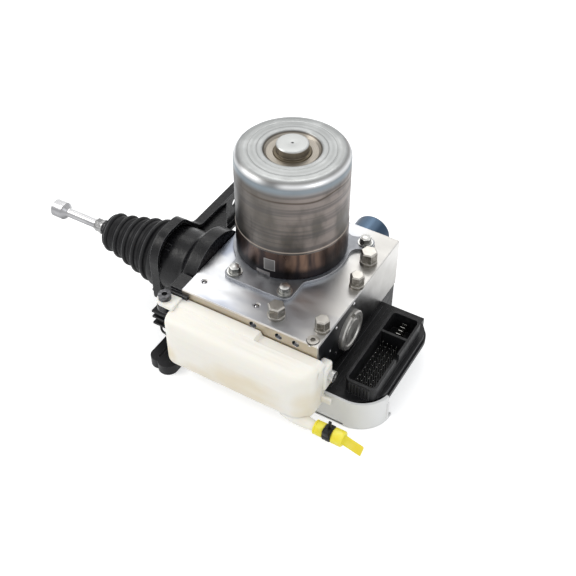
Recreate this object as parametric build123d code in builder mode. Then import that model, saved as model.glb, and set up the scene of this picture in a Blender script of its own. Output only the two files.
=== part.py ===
"""Electro-hydraulic brake control module: pedal cylinder, motor-driven pump piston, anti-lock valve
block, fluid reservoir and control electronics in one unit. Millimetres.

Z = 0 is the face that the module rests on, under the electronics cover. The origin lies on that
face, below the motor's axis. X runs along the pedal rod, away from the pedal. Z is up.
"""

import os
from math import atan2, degrees

from build123d import *

os.makedirs("parts", exist_ok=True)

# Clearances
running_gap = 0.05  # radial, between a sliding or turning piece and its bore
seat_gap = 0.05  # radial, between round pieces that are fixed in each other
soft_gap = 0.3  # between a rubber or soft plastic piece and its neighbour

# Electronics housing, cover and connector
electronics_height = 29.5
gasket_thickness = 0.5
gasket_width = 5.0
cover_floor = 2.5
cover_wall = 2.2
cover_corner = 25.0
housing_left = -50.0
housing_front = -84.5
housing_rear = 46.0
housing_wall = 2.5
box_corner = 16.0
flange_right = 121.3
flange_rear = 22.5
flange_height = 9.0
flange_step = 1.5
flange_rear_corner = 21.0
flange_overhang = 9.5
shroud_left = 90.0
shroud_right = 116.0
shroud_front = -77.0
shroud_rear = 7.0
shroud_height = 13.0
shroud_wall = 2.0
shroud_corner = 5.0
shroud_depth = 17.0
shroud_rib_count = 7
divider_y = -17.0
key_notch_y = -38.0
key_notch_width = 6.0
pin_rows = (96.5, 100.3, 104.1, 107.9)
pin_pitch = 4.4
pin_count = 12
pin_size = 0.8
pin_top_gap = 6.8
blade_size = (4.0, 0.8)
blade_count = 5
blade_pitch = 4.0
board_thickness = 1.6
board_height = 5.0
board_post_places = ((-40.0, 0.0), (60.0, 0.0), (60.0, -60.0), (100.0, 12.0), (96.0, -76.0))
board_post_radius = 2.5
boss_radius = 4.5
boss_length = 12.0
ridge_places = (76.0, 80.5, 85.0)

# Hydraulic block
block_left = -48.0
block_right = 73.0
block_front = -88.0
block_rear = 49.0
block_height = 47.0
block_edge = 0.8

# Pedal cylinder and rod
rod_y = -38.0
rod_drop = 25.6  # rod axis below the block's top
bore_radius = 12.0
bore_end = 58.0
plug_thread_radius = 15.0
plug_flange_radius = 17.0
plug_flange_thickness = 4.0
plug_cup_depth = 8.0
first_piston_start = -52.0
first_piston_length = 36.0
second_piston_start = 14.0
second_piston_length = 24.0
piston_cup_radius = 9.2
piston_cup_depth = 13.0
groove_depth = 2.0
groove_width = 3.6
seal_places = (-42.0, -28.0, 17.0, 29.0)
spring_wire = 2.2
spring_turns = 5
ball_radius = 6.0
ball_x = -43.0
rod_radius = 4.0
rod_head_end = -220.0
rod_head_radius = 7.75
rod_head_length = 12.0
rod_head_cone = 3.0
adjuster_flats = 10.0
adjuster_start = -173.5
adjuster_length = 7.0
washer_radius = 6.6
washer_thickness = 1.6

# Rubber boot
boot_wall = 1.6
boot_lip_start = -161.5
boot_face_x = -157.0
boot_crests = ((-152.5, 17.3), (-141.0, 19.3), (-129.8, 22.0), (-118.8, 24.7), (-107.3, 27.4))
boot_fold_depth = 3.4
boot_foot_radius = 28.8
boot_foot_length = 7.0

# Mounting bracket
plate_front = -94.0
plate_depth = 8.0
plate_face = 3.0
plate_rim = 2.8
plate_left = -67.5
plate_right = 68.0
plate_top = 11.5  # above the block's top
arm_top = -12.4  # below the block's top
plate_bottom = -52.0
neck_radius = 29.0
neck_wall = 4.0
collar_radius = 38.5
collar_thickness = 10.0
arm_slope = (10.0, 32.0)  # from the rod's axis to the ends of the slope down to the arm
lug_depth = 16.0
lug_height = 21.4
tab_reach = 14.0
tab_width = 17.0
strip_length = 21.0
strip_thickness = 3.0
strip_height = 3.2
ear_thickness = 5.0
gusset_drop = 8.0
gusset_length = 52.0
gusset_thickness = 3.0
wall_hole_radius = 4.25
wall_hole_y = (14.0, 54.0)
wall_hole_drop = 32.0
plate_screw_places = ((-53.5, 1.0), (-63.4, -44.0))
plate_screw_tips = (0.0, 2.8)
plate_screw_radius = 2.0
plate_screw_head = 2.9

# Motor
flange_plate_thickness = 3.0
flange_plate_radius = 47.5
flange_ear_radius = 7.5
motor_bolt_places = ((-21.0, -53.0), (24.0, -52.5), (51.5, 29.0), (-39.5, 39.5))
motor_bolt_radius = 2.6
motor_bolt_depth = 12.0
motor_bolt_flats = 8.0
motor_bolt_head = 5.6
motor_washer_radius = 6.2
motor_washer_thickness = 1.4
motor_radius = 45.0
motor_wall = 2.0
base_ring_height = 26.0
can_height = 67.3
can_shoulder = 7.0
can_recess_radius = 21.7
can_recess_depth = 3.5
hub_radius = 12.5
hub_height = 4.4
tooth_count = 12
slot_width = 8.0
stator_share = 0.605  # the stator's bore as a share of its outside
stator_lift = 16.0  # above the motor's foot
stator_rise = 42.0  # above the can's foot
magnet_count = 8
magnet_thickness = 3.0
air_gap = 1.0
journal_step = 2.0  # from the rotor's outside down to its lower bearing
nut_radius = 16.0
screw_radius = 7.0
drive_bore_radius = 14.0
drive_bore_depth = 42.0
drive_piston_length = 12.0
pump_seal_depths = (6.0, 11.0)
bearing_width = 9.0
lower_bearing_ring = 10.0  # radial, between the bearing's bore and its outside
upper_bearing = (10.0, 17.0)

# Plugs, ports and valves in the block
large_plug_places = ((30.0, -75.0), (62.5, 13.0))
small_plug_places = ((66.5, -70.0), (67.0, -15.5))
large_plug_flats = 12.0
small_plug_flats = 10.0
plug_head_height = 9.0
plug_collar_height = 2.6
plug_shank_radius = 4.5
plug_shank_length = 10.0
ball_plug_places = ((-37.1, -71.7), (11.5, -73.3))
ball_plug_radius = 2.2
socket_plug_places = ((66.0, -83.0),)
socket_plug_radius = 3.0
socket_plug_head = 4.6
socket_plug_recess = 2.4
socket_plug_rise = 0.8
socket_plug_key = 2.0
housing_screw_places = ((-44.0, -78.0), (67.0, -78.0), (-44.0, 40.0), (67.0, 40.0))
housing_screw_radius = 2.0
housing_screw_grip = 10.0
front_hole_places = ((17.0, -5.0), (39.4, -5.9), (54.1, -5.9))
front_hole_radius = 3.0
front_hole_depth = 7.0
line_port_x = (-30.0, -15.0, 0.0, 15.0)
line_port_drop = 16.0
line_port_radius = 5.0
line_port_depths = (12.0, 12.8, 13.6, 14.4)  # each meets a cross-drilling at its own depth
feed_places = (-35.0, 23.0)
feed_drop = 22.0
grommet_radius = 8.0
grommet_depth = 8.0
nipple_radius = 5.0
feed_channel_radius = 3.0
valve_places = (
    [(x, y) for x in (-30.0, -8.0, 14.0, 36.0) for y in (-72.2, -58.2)]
    + [(x, y) for x in (-30.0, -12.0, 6.0) for y in (22.0, 36.3)]
)
valve_radius = 5.5
valve_depth = 17.0
valve_stem_radius = 3.4
valve_stem_length = 20.0
coil_radius = 6.8
coil_height = 15.0

# Pedal-feel simulator
simulator_x = 37.5
simulator_drop = 24.0
simulator_bore_radius = 12.0
simulator_bore_depth = 45.0
simulator_cap_radius = 16.0
simulator_cap_length = 26.0
simulator_cap_wall = 3.0
simulator_thread_radius = simulator_cap_radius - 1.5
simulator_thread_length = 10.5
simulator_piston_length = 12.0

# Reservoir
tank_left = -50.0
tank_right = 80.0
tank_back_gap = 0.6
tank_depth = 27.5
tank_top = -7.0
tank_bottom = -58.0
tank_wall = 2.4
tank_step_x = 25.0
tank_step = 4.0
spout_inset = 0.1  # from the tank's front to the side of the spout
spout_rise = 1.0  # from the tank's floor to the spout's axis
spout_radius = 4.0
spout_bore = 2.4
spout_length = 27.0  # beyond the tank's right end
ear_screw_place = (-56.5, -98.0)
ear_screw_radius = 2.6
ear_screw = (5.1, 4.4, 12.6, 2.2, 2.6)  # head's radius and height, shank, socket's radius and depth
lug_screw = (4.5, 4.0, 19.0, 2.0, 2.4)
tank_ear_thickness = 4.0
tank_ear_width = 13.4
tank_lug_y = -84.5
tank_lug_drop = 28.0
tank_lug_width = 9.0
tank_lug_depth = 12.0
tank_lug_height = 25.0
clip_tab = (10.0, 2.4, 6.0)
nipple_length = 6.5

# Spout cap and its tie
cap_sleeve = 21.5  # over the spout
cap_neck_start = 8.0  # from the sleeve's mouth
cap_neck_end = 15.5
cap_end_wall = 3.0
cap_radii = (5.8, 5.0, 6.3)
cap_stub = (7.5, 3.0, 15.0)
cap_stub_roll = -35.0
cap_stub_droop = 4.5
tie_width = 5.0

# Pedal travel sensor, its lead and the lead's connector
sensor_left = -66.0
sensor_right = -50.2
sensor_front = -89.0
sensor_clearance = 0.5  # to the bracket's collar behind it
sensor_top = -22.0  # below the block's top, under the bracket's lug
sensor_bottom = -52.0
fin_left = -79.0
fin_front = -90.0
fin_drops = (38.5, 44.5, 51.8)
fin_thickness = 1.8
peg_radius = 2.5
peg_x = -53.0
sensor_peg_length = 8.0
lead_radius = 1.0
foot_height = 9.0
foot_left = -71.3
foot_rear = -76.0
foot_right = -46.0
foot_front_gap = 0.5
foot_slot = (17.0, 2.6)
foot_slot_places = ((-62.5, -98.5), (-51.0, -99.0))
rail_size = (3.0, 4.0, 8.0)  # on the housing, inside the foot
lead_drop = 10.2  # below the lowest fin

# Worked-out levels
block_bottom = electronics_height + gasket_thickness
block_top = block_bottom + block_height
rod_z = block_top - rod_drop
block_x = (block_left + block_right) / 2
block_y = (block_front + block_rear) / 2
flange_bottom = electronics_height - flange_height
shroud_top = electronics_height + shroud_height
motor_base = block_top + flange_plate_thickness
can_base = motor_base + base_ring_height
can_top = can_base + can_height
motor_inner = motor_radius - motor_wall
stator_outer = motor_inner - seat_gap
stator_inner = stator_share * stator_outer
rotor_radius = stator_inner - air_gap - magnet_thickness
lower_bearing = (rotor_radius - journal_step, rotor_radius - journal_step + lower_bearing_ring)
sensor_rear = rod_y - collar_radius - sensor_clearance
peg_place = (peg_x, (sensor_front + sensor_rear) / 2)
simulator_z = block_top - simulator_drop
tank_back = block_front - tank_back_gap
tank_front = tank_back - tank_depth
spout_y = tank_front + spout_radius + spout_inset
spout_drop = -tank_bottom - spout_rise
spout_end = tank_right + spout_length
cap_start = spout_end - cap_sleeve
cap_neck = (cap_start + cap_neck_start, cap_start + cap_neck_end)
cap_end_x = spout_end + cap_end_wall
plug_face = block_right + plug_flange_thickness

# Planes and axes that several pieces share
rod_plane = Plane(origin=(0, rod_y, rod_z), x_dir=(1, 0, 0), z_dir=(0, -1, 0))
rod_axis = Axis((0, rod_y, rod_z), (1, 0, 0))
left_face = Plane(origin=(block_left, rod_y, rod_z), z_dir=(-1, 0, 0))
right_face = Plane(origin=(block_right, rod_y, rod_z), z_dir=(1, 0, 0))
simulator_plane = Plane(origin=(simulator_x, 0, simulator_z), x_dir=(0, 1, 0), z_dir=(1, 0, 0))
simulator_axis = Axis((simulator_x, 0, simulator_z), (0, 1, 0))
motor_plane = Plane.XZ
ear_plane = Plane((*ear_screw_place, block_top + tank_top + tank_ear_thickness / 2))
lug_plane = Plane(
    origin=(block_right + tank_lug_width, tank_lug_y, block_top - tank_lug_drop), z_dir=(1, 0, 0)
)
spout_plane = Plane(origin=(0, spout_y, block_top - spout_drop), x_dir=(1, 0, 0), z_dir=(0, -1, 0))
spout_section = Plane(origin=(0, spout_y, block_top - spout_drop), x_dir=(0, 1, 0), z_dir=(1, 0, 0))
spout_axis = Axis((0, spout_y, block_top - spout_drop), (1, 0, 0))


# Hydraulic block: a machined aluminium forging, drilled for every piston, valve and port
with BuildPart() as hydraulic_block:
    with BuildSketch(Plane.XY.offset(block_bottom)):
        with Locations((block_x, block_y)):
            Rectangle(block_right - block_left, block_rear - block_front)
    extrude(amount=block_height)
    chamfer(hydraulic_block.edges().filter_by(Axis.Z), block_edge)
    chamfer(hydraulic_block.faces().sort_by(Axis.Z)[-1].edges(), block_edge)
    # Pedal cylinder bore, its plug thread and the seal grooves
    with Locations(left_face):
        Hole(bore_radius, depth=bore_end - block_left)
    with Locations(right_face):
        Hole(plug_thread_radius, depth=block_right - bore_end)
    with BuildSketch(rod_plane):
        for place in seal_places:
            with Locations((place, bore_radius)):
                Rectangle(groove_width, 2 * groove_depth)
    revolve(axis=rod_axis, mode=Mode.SUBTRACT)
    # Pump bore under the motor, and the simulator bore from the rear
    with Locations((0, 0, block_top)):
        Hole(drive_bore_radius, depth=drive_bore_depth)
    with Locations(Plane(origin=(simulator_x, block_rear, simulator_z), z_dir=(0, 1, 0))):
        CounterBoreHole(
            simulator_bore_radius, simulator_thread_radius, simulator_thread_length,
            depth=simulator_bore_depth,
        )
    with BuildSketch(Plane.XZ):
        for depth in pump_seal_depths:
            with Locations((drive_bore_radius, block_top - depth)):
                Rectangle(2 * groove_depth, groove_width)
    revolve(axis=Axis.Z, mode=Mode.SUBTRACT)
    # Top: plugs, balls and motor bolts
    with Locations(*[(x, y, block_top) for x, y in large_plug_places + small_plug_places]):
        Hole(plug_shank_radius, depth=plug_shank_length + 1)
    with Locations(*[(x, y, block_top) for x, y in ball_plug_places]):
        CounterBoreHole(ball_plug_radius, ball_plug_radius + 0.8, 0.6, depth=5.0)
    with Locations(*[(x, y, block_top) for x, y in motor_bolt_places]):
        Hole(motor_bolt_radius, depth=motor_bolt_depth)
    with Locations(*[(x, y, block_top) for x, y in socket_plug_places]):
        CounterBoreHole(
            socket_plug_radius + seat_gap, socket_plug_head + 0.4, socket_plug_recess,
            depth=socket_plug_recess + plug_shank_length + 0.6,
        )
    # Rear: ports for the wheel lines. Front: cross-drillings and the two feeds from the reservoir
    for x, depth in zip(line_port_x, line_port_depths):
        with Locations(Plane(origin=(x, block_rear, block_top - line_port_drop), z_dir=(0, 1, 0))):
            Hole(line_port_radius, depth=depth)
    for x, z in front_hole_places:
        with Locations(Plane(origin=(x, block_front, block_top + z), z_dir=(0, -1, 0))):
            Hole(front_hole_radius, depth=front_hole_depth)
    for x in feed_places:
        with Locations(Plane(origin=(x, block_front, block_top - feed_drop), z_dir=(0, -1, 0))):
            Hole(grommet_radius, depth=grommet_depth)
            Hole(feed_channel_radius, depth=rod_y - block_front)
    with Locations(Plane(origin=(block_right, tank_lug_y, block_top - tank_lug_drop), z_dir=(1, 0, 0))):
        Hole(ear_screw_radius, depth=12.0)
    # Underside: a pocket for each valve and the threads of the housing screws
    for places, radius, depth in (
        (valve_places, valve_radius, valve_depth),
        (housing_screw_places, housing_screw_radius, housing_screw_grip + 1),
    ):
        with Locations(*[(x, y, block_bottom) for x, y in places]):
            Cylinder(
                radius + seat_gap, depth, align=(Align.CENTER, Align.CENTER, Align.MIN), mode=Mode.SUBTRACT
            )
hydraulic_block.part.label = "hydraulic_block"
export_step(hydraulic_block.part, "parts/hydraulic_block.step")

# Solenoid valves: cartridges staked into the underside, stems down into the coils
with BuildPart() as solenoid_valves:
    with Locations(*[(x, y, block_bottom + valve_depth) for x, y in valve_places]):
        Cylinder(valve_radius, valve_depth, align=(Align.CENTER, Align.CENTER, Align.MAX))
    with Locations(*[(x, y, block_bottom) for x, y in valve_places]):
        Cylinder(valve_stem_radius, valve_stem_length, align=(Align.CENTER, Align.CENTER, Align.MAX))
solenoid_valves.part.label = "solenoid_valves"
export_step(solenoid_valves.part, "parts/solenoid_valves.step")

# Solenoid coils: wound bobbins that slide over the valve stems
coil_top = electronics_height - housing_wall - soft_gap
with BuildPart() as solenoid_coils:
    with Locations(*[(x, y, coil_top) for x, y in valve_places]):
        Cylinder(coil_radius, coil_height, align=(Align.CENTER, Align.CENTER, Align.MAX))
    with Locations(*[(x, y, coil_top) for x, y in valve_places]):
        Hole(valve_stem_radius + seat_gap, depth=coil_height)
solenoid_coils.part.label = "solenoid_coils"
export_step(solenoid_coils.part, "parts/solenoid_coils.step")

# Hex port plugs: chamfered heads on a round collar, the shank screwed into the block
for plug_name, places, flats in (
    ("large_port_plugs", large_plug_places, large_plug_flats),
    ("small_port_plugs", small_plug_places, small_plug_flats),
):
    with BuildPart() as port_plugs:
        with BuildSketch(Plane.XY.offset(block_top)):
            with Locations(*places):
                Circle(flats / 2 + 1.1)
        extrude(amount=plug_collar_height)
        with BuildSketch(Plane.XY.offset(block_top + plug_collar_height)):
            with Locations(*places):
                RegularPolygon(flats / 2, 6, major_radius=False, rotation=12)
        extrude(amount=plug_head_height)
        chamfer(port_plugs.faces().sort_by(Axis.Z)[-len(places):].edges(), 0.9)
        with Locations(*[(x, y, block_top) for x, y in places]):
            Cylinder(
                plug_shank_radius - seat_gap, plug_shank_length, align=(Align.CENTER, Align.CENTER, Align.MAX)
            )
    port_plugs.part.label = plug_name
    export_step(port_plugs.part, f"parts/{plug_name}.step")

# Ball plugs: steel balls pressed in and staked over the drilled channels
front_ball_y = block_front + front_hole_depth - front_hole_radius
with BuildPart() as ball_plugs:
    with Locations(*[(x, y, block_top - ball_plug_radius - 0.3) for x, y in ball_plug_places]):
        Sphere(ball_plug_radius - seat_gap)
    with Locations(*[(x, front_ball_y, block_top + z) for x, z in front_hole_places]):
        Sphere(front_hole_radius - seat_gap)
ball_plugs.part.label = "ball_plugs"
export_step(ball_plugs.part, "parts/ball_plugs.step")

# Socket plug: recessed in the top face over a drilled channel
with BuildPart() as socket_plugs:
    with Locations(*[(x, y, block_top - socket_plug_recess) for x, y in socket_plug_places]):
        Cylinder(
            socket_plug_head, socket_plug_recess + socket_plug_rise,
            align=(Align.CENTER, Align.CENTER, Align.MIN),
        )
        Cylinder(socket_plug_radius, plug_shank_length, align=(Align.CENTER, Align.CENTER, Align.MAX))
    with Locations(*[(x, y, block_top + socket_plug_rise) for x, y in socket_plug_places]):
        Hole(socket_plug_key, depth=socket_plug_recess)
socket_plugs.part.label = "socket_plugs"
export_step(socket_plugs.part, "parts/socket_plugs.step")

# Cylinder end plug: closes the pedal bore on the right face
with BuildPart() as cylinder_end_plug:
    with BuildSketch(rod_plane):
        with BuildLine():
            Polyline(
                (bore_end + seat_gap, 0),
                (bore_end + seat_gap, plug_thread_radius - seat_gap),
                (block_right, plug_thread_radius - seat_gap),
                (block_right, plug_flange_radius),
                (plug_face - 1.0, plug_flange_radius),
                (plug_face, plug_flange_radius - 1.0),
                (plug_face, 13.2),
                (plug_face - 1.2, 12.4),
                (plug_face - 1.2, 10.4),
                (plug_face - 0.4, 9.6),
                (plug_face - 0.4, 0),
                close=True,
            )
        make_face()
    revolve(axis=rod_axis)
    with Locations((plug_face, rod_y, rod_z + plug_flange_radius - 1.6)):
        Box(5.0, 5.0, 5.0, mode=Mode.SUBTRACT)
    with Locations((bore_end + seat_gap, rod_y, rod_z)):
        Cylinder(
            piston_cup_radius, plug_cup_depth, rotation=(0, 90, 0),
            align=(Align.CENTER, Align.CENTER, Align.MIN), mode=Mode.SUBTRACT,
        )
cylinder_end_plug.part.label = "cylinder_end_plug"
export_step(cylinder_end_plug.part, "parts/cylinder_end_plug.step")

# Primary piston: pushed by the rod through a ball socket, with a cup for its spring
first_piston_end = first_piston_start + first_piston_length
piston_radius = bore_radius - running_gap
with BuildPart() as primary_piston:
    with BuildSketch(rod_plane):
        with Locations(((first_piston_start + first_piston_end) / 2, piston_radius / 2)):
            Rectangle(first_piston_length, piston_radius)
    revolve(axis=rod_axis)
    with Locations((ball_x, rod_y, rod_z)):
        Sphere(ball_radius + running_gap, mode=Mode.SUBTRACT)
    with BuildSketch(rod_plane):
        with BuildLine():
            Polyline(
                (first_piston_start, 0),
                (first_piston_start, ball_radius + 2.2),
                (ball_x, ball_radius),
                (ball_x, 0),
                close=True,
            )
        make_face()
    revolve(axis=rod_axis, mode=Mode.SUBTRACT)
    with Locations(Plane(origin=(first_piston_end, rod_y, rod_z), z_dir=(1, 0, 0))):
        Hole(piston_cup_radius, depth=piston_cup_depth)
primary_piston.part.label = "primary_piston"
export_step(primary_piston.part, "parts/primary_piston.step")

# Secondary piston: floats between the two springs
second_piston_end = second_piston_start + second_piston_length
with BuildPart() as secondary_piston:
    with BuildSketch(rod_plane):
        with Locations(((second_piston_start + second_piston_end) / 2, piston_radius / 2)):
            Rectangle(second_piston_length, piston_radius)
    revolve(axis=rod_axis)
    with Locations(Plane(origin=(second_piston_end, rod_y, rod_z), z_dir=(1, 0, 0))):
        Hole(piston_cup_radius, depth=piston_cup_depth)
secondary_piston.part.label = "secondary_piston"
export_step(secondary_piston.part, "parts/secondary_piston.step")

# Piston springs: seated in the piston cups
spring_radius = piston_cup_radius - spring_wire / 2 - 0.4
for spring_name, start, end in (
    ("primary_spring", first_piston_end - piston_cup_depth, second_piston_start),
    ("secondary_spring", second_piston_end - piston_cup_depth, bore_end + plug_cup_depth),
):
    spring_start = start + spring_wire / 2 + seat_gap
    spring_length = end - start - spring_wire - 3 * seat_gap
    with BuildPart() as coil_spring:
        with BuildLine():
            coil = Helix(
                pitch=spring_length / spring_turns, height=spring_length, radius=spring_radius,
                center=(spring_start, rod_y, rod_z), direction=(1, 0, 0),
            )
        with BuildSketch(Plane(origin=coil @ 0, z_dir=coil % 0)):
            RegularPolygon(spring_wire / 2, 6)
        sweep(is_frenet=True)
    coil_spring.part.label = spring_name
    export_step(coil_spring.part, f"parts/{spring_name}.step")

# Piston seals: rubber cups in the bore's grooves
with BuildPart() as piston_seals:
    with BuildSketch(rod_plane):
        for place in seal_places:
            with Locations((place, bore_radius + groove_depth / 2)):
                Rectangle(groove_width - 2 * seat_gap, groove_depth - 2 * seat_gap)
    revolve(axis=rod_axis)
piston_seals.part.label = "piston_seals"
export_step(piston_seals.part, "parts/piston_seals.step")

# Pedal rod: a turned rod with a ball at the piston end and a head for the pedal's clip
rod_head_start = rod_head_end + rod_head_length
with BuildPart() as pedal_rod:
    with BuildSketch(rod_plane):
        with BuildLine():
            Polyline(
                (rod_head_end, 0),
                (rod_head_end, rod_head_radius - 1.0),
                (rod_head_end + 1.0, rod_head_radius),
                (rod_head_start, rod_head_radius),
                (rod_head_start + rod_head_cone, rod_radius),
                (ball_x - ball_radius / 2, rod_radius),
                (ball_x - ball_radius / 2, 0),
                close=True,
            )
        make_face()
    revolve(axis=rod_axis)
    with Locations((ball_x, rod_y, rod_z)):
        Sphere(ball_radius)
pedal_rod.part.label = "pedal_rod"
export_step(pedal_rod.part, "parts/pedal_rod.step")

# Adjuster nut and its washer, both on the rod in front of the boot
adjuster_end = adjuster_start + adjuster_length
adjuster_plane = Plane(origin=(adjuster_start, rod_y, rod_z), z_dir=(1, 0, 0))
with BuildPart() as adjuster_nut:
    with BuildSketch(adjuster_plane):
        RegularPolygon(adjuster_flats / 2, 6, major_radius=False, rotation=20)
        Circle(rod_radius + seat_gap, mode=Mode.SUBTRACT)
    extrude(amount=adjuster_length)
adjuster_nut.part.label = "adjuster_nut"
export_step(adjuster_nut.part, "parts/adjuster_nut.step")

with BuildPart() as rod_washer:
    with BuildSketch(Plane(origin=(adjuster_end, rod_y, rod_z), z_dir=(1, 0, 0))):
        Circle(washer_radius)
        Circle(rod_radius + seat_gap, mode=Mode.SUBTRACT)
    extrude(amount=washer_thickness)
rod_washer.part.label = "rod_washer"
export_step(rod_washer.part, "parts/rod_washer.step")

# Rubber boot: a moulded bellows from the rod to the bracket's plate
boot_bore = rod_radius + soft_gap
boot_foot_start = plate_front - boot_foot_length
boot_end = plate_front - seat_gap
boot_lip_radius = neck_radius - neck_wall - seat_gap
with BuildPart() as boot:
    with BuildSketch(rod_plane):
        with BuildLine():
            outer = [(boot_lip_start, boot_bore + 1.8), (boot_face_x - 1.0, boot_bore + 2.4)]
            outer.append((boot_face_x, boot_crests[0][1] - 2.0))
            for index, (x, radius) in enumerate(boot_crests):
                outer += [(x - 1.6, radius), (x + 1.6, radius)]
                next_x, next_radius = (boot_crests + ((boot_foot_start + 1.0, boot_foot_radius),))[index + 1]
                outer.append(((x + next_x) / 2, (radius + next_radius) / 2 - boot_fold_depth))
            outer += [(boot_foot_start, boot_foot_radius - 0.6), (boot_foot_start + 1.2, boot_foot_radius)]
            outer += [(boot_end, boot_foot_radius), (boot_end, boot_lip_radius)]
            outer += [(boot_end + plate_face, boot_lip_radius)]
            foot_inside = boot_lip_radius - boot_wall
            inner = [(boot_end + plate_face, foot_inside), (boot_end - 1.0, foot_inside)]
            for x, radius in reversed(boot_crests):
                inner += [(x + 5.2, radius - boot_fold_depth - boot_wall), (x, radius - boot_wall)]
            inner += [(boot_face_x + boot_wall, boot_crests[0][1] - 4.0)]
            inner += [(boot_face_x + boot_wall, boot_bore), (boot_lip_start, boot_bore)]
            Polyline(*outer, *inner, close=True)
        make_face()
    revolve(axis=rod_axis)
boot.part.label = "boot"
export_step(boot.part, "parts/boot.step")

# Mounting bracket: a cast plate with a turned rim, a neck round the rod and a collar on the block
plate_plane = Plane(origin=(plate_front, 0, block_top), x_dir=(0, 1, 0), z_dir=(1, 0, 0))
collar_start = block_left - collar_thickness
plate_back = plate_front + plate_depth
plate_corners = (
    (plate_left, plate_bottom),
    (plate_left, plate_top),
    (rod_y + arm_slope[0], plate_top),
    (rod_y + arm_slope[1], arm_top),
    (plate_right, arm_top),
    (plate_right, plate_bottom),
)
plate_radii = (5, 22, 14, 12, 8, 8)
tab_top = tank_top - tank_ear_thickness / 2 - soft_gap
tab_left = block_left - tab_reach
tab_right = tank_left - 2 * soft_gap
strip_foot = block_top + tank_top + 0.4
gusset_start = rod_y + neck_radius - 3.0
with BuildPart() as mounting_bracket:
    with BuildSketch(plate_plane):
        with BuildLine():
            FilletPolyline(*plate_corners, radius=plate_radii, close=True)
        make_face()
    extrude(amount=plate_depth)
    with BuildSketch(plate_plane.offset(plate_face)):
        with BuildLine():
            FilletPolyline(*plate_corners, radius=plate_radii, close=True)
        make_face()
        offset(amount=-plate_rim)
    extrude(amount=plate_depth - plate_face, mode=Mode.SUBTRACT)
    # Neck that flares into the collar on the block's left face
    with BuildSketch(rod_plane):
        with BuildLine():
            FilletPolyline(
                (plate_front, neck_radius - neck_wall),
                (plate_front, neck_radius),
                (collar_start - 8.0, neck_radius),
                (collar_start - 1.5, collar_radius),
                (block_left, collar_radius),
                (block_left, neck_radius - neck_wall),
                radius=(0, 0, 6, 2, 0, 0),
                close=True,
            )
        make_face()
    revolve(axis=rod_axis)
    with Locations(Plane(origin=(plate_front, rod_y, rod_z), z_dir=(-1, 0, 0))):
        Hole(neck_radius - neck_wall, depth=plate_face)
    # Flat underside that clears the electronics
    with Locations(((collar_start + block_left) / 2, rod_y, block_bottom + 0.5)):
        Box(
            3 * collar_thickness, 3 * collar_radius, 2 * collar_radius,
            align=(Align.CENTER, Align.CENTER, Align.MAX), mode=Mode.SUBTRACT,
        )
    # Corner lug, and the strip and tab that carry the reservoir's ear
    with BuildSketch(Plane.XY.offset(block_top + sensor_top)):
        with Locations((block_left, block_front)):
            Rectangle(collar_thickness, lug_depth, align=(Align.MAX, Align.MIN))
    extrude(amount=lug_height)
    with BuildSketch(Plane.XY.offset(strip_foot)):
        with Locations((tab_left, block_front - seat_gap)):
            Rectangle(strip_length, strip_thickness, align=(Align.MIN, Align.MAX))
    extrude(amount=strip_height)
    with BuildSketch(Plane.XY.offset(block_top + tab_top - ear_thickness)):
        with Locations((tab_left, block_front)):
            Rectangle(tab_right - tab_left, strip_thickness, align=(Align.MIN, Align.MAX))
    extrude(amount=strip_foot - block_top - tab_top + ear_thickness)
    with BuildSketch(Plane.XY.offset(block_top + tab_top - ear_thickness)):
        with BuildLine():
            FilletPolyline(
                (tab_left, block_front),
                (tab_right, block_front),
                (tab_right, block_front - tab_width),
                (tab_left, block_front - tab_width),
                radius=(0, 0, 3, 5),
                close=True,
            )
        make_face()
        with Locations(ear_screw_place):
            Circle(ear_screw_radius + seat_gap, mode=Mode.SUBTRACT)
    extrude(amount=ear_thickness)
    with Locations((*peg_place, block_top + sensor_top)):
        Cylinder(
            peg_radius + seat_gap, sensor_peg_length + 1,
            align=(Align.CENTER, Align.CENTER, Align.MIN), mode=Mode.SUBTRACT,
        )
    # Gusset under the arm, wall holes and the screw holes beside the boot
    with BuildSketch(Plane.XY.offset(block_top + arm_top - gusset_drop)):
        with BuildLine():
            Polyline(
                (plate_back - 4.0, gusset_start),
                (collar_start + 2.0, gusset_start),
                (plate_back - 4.0, gusset_start + gusset_length),
                close=True,
            )
        make_face()
    extrude(amount=gusset_thickness)
    for places, radius in (
        ([(y, -wall_hole_drop) for y in wall_hole_y], wall_hole_radius),
        (plate_screw_places, plate_screw_radius + seat_gap),
    ):
        with Locations(*[Plane(origin=(plate_front, y, block_top + z), z_dir=(-1, 0, 0)) for y, z in places]):
            Hole(radius, depth=plate_depth)
    with Locations(*[(plate_front + plate_face, y, block_top + z) for y, z in plate_screw_places]):
        Cylinder(
            plate_screw_head + 0.2, plate_depth, rotation=(0, 90, 0),
            align=(Align.CENTER, Align.CENTER, Align.MIN), mode=Mode.SUBTRACT,
        )
mounting_bracket.part.label = "mounting_bracket"
export_step(mounting_bracket.part, "parts/mounting_bracket.step")

# Bracket screws: socket heads on the plate's inner face, beside the boot's foot
plate_inner = plate_front + plate_face
with BuildPart() as bracket_screws:
    for (y, z), tip in zip(plate_screw_places, plate_screw_tips):
        with BuildSketch(Plane(origin=(plate_inner, y, block_top + z), z_dir=(1, 0, 0))):
            Circle(plate_screw_head)
        extrude(amount=4.0)
        with BuildSketch(Plane(origin=(plate_inner + 4.0, y, block_top + z), z_dir=(1, 0, 0))):
            RegularPolygon(1.6, 6)
        extrude(amount=-2.2, mode=Mode.SUBTRACT)
        with BuildSketch(Plane(origin=(plate_inner, y, block_top + z), z_dir=(-1, 0, 0))):
            Circle(plate_screw_radius)
        extrude(amount=plate_face + tip)
bracket_screws.part.label = "bracket_screws"
export_step(bracket_screws.part, "parts/bracket_screws.step")

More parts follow.
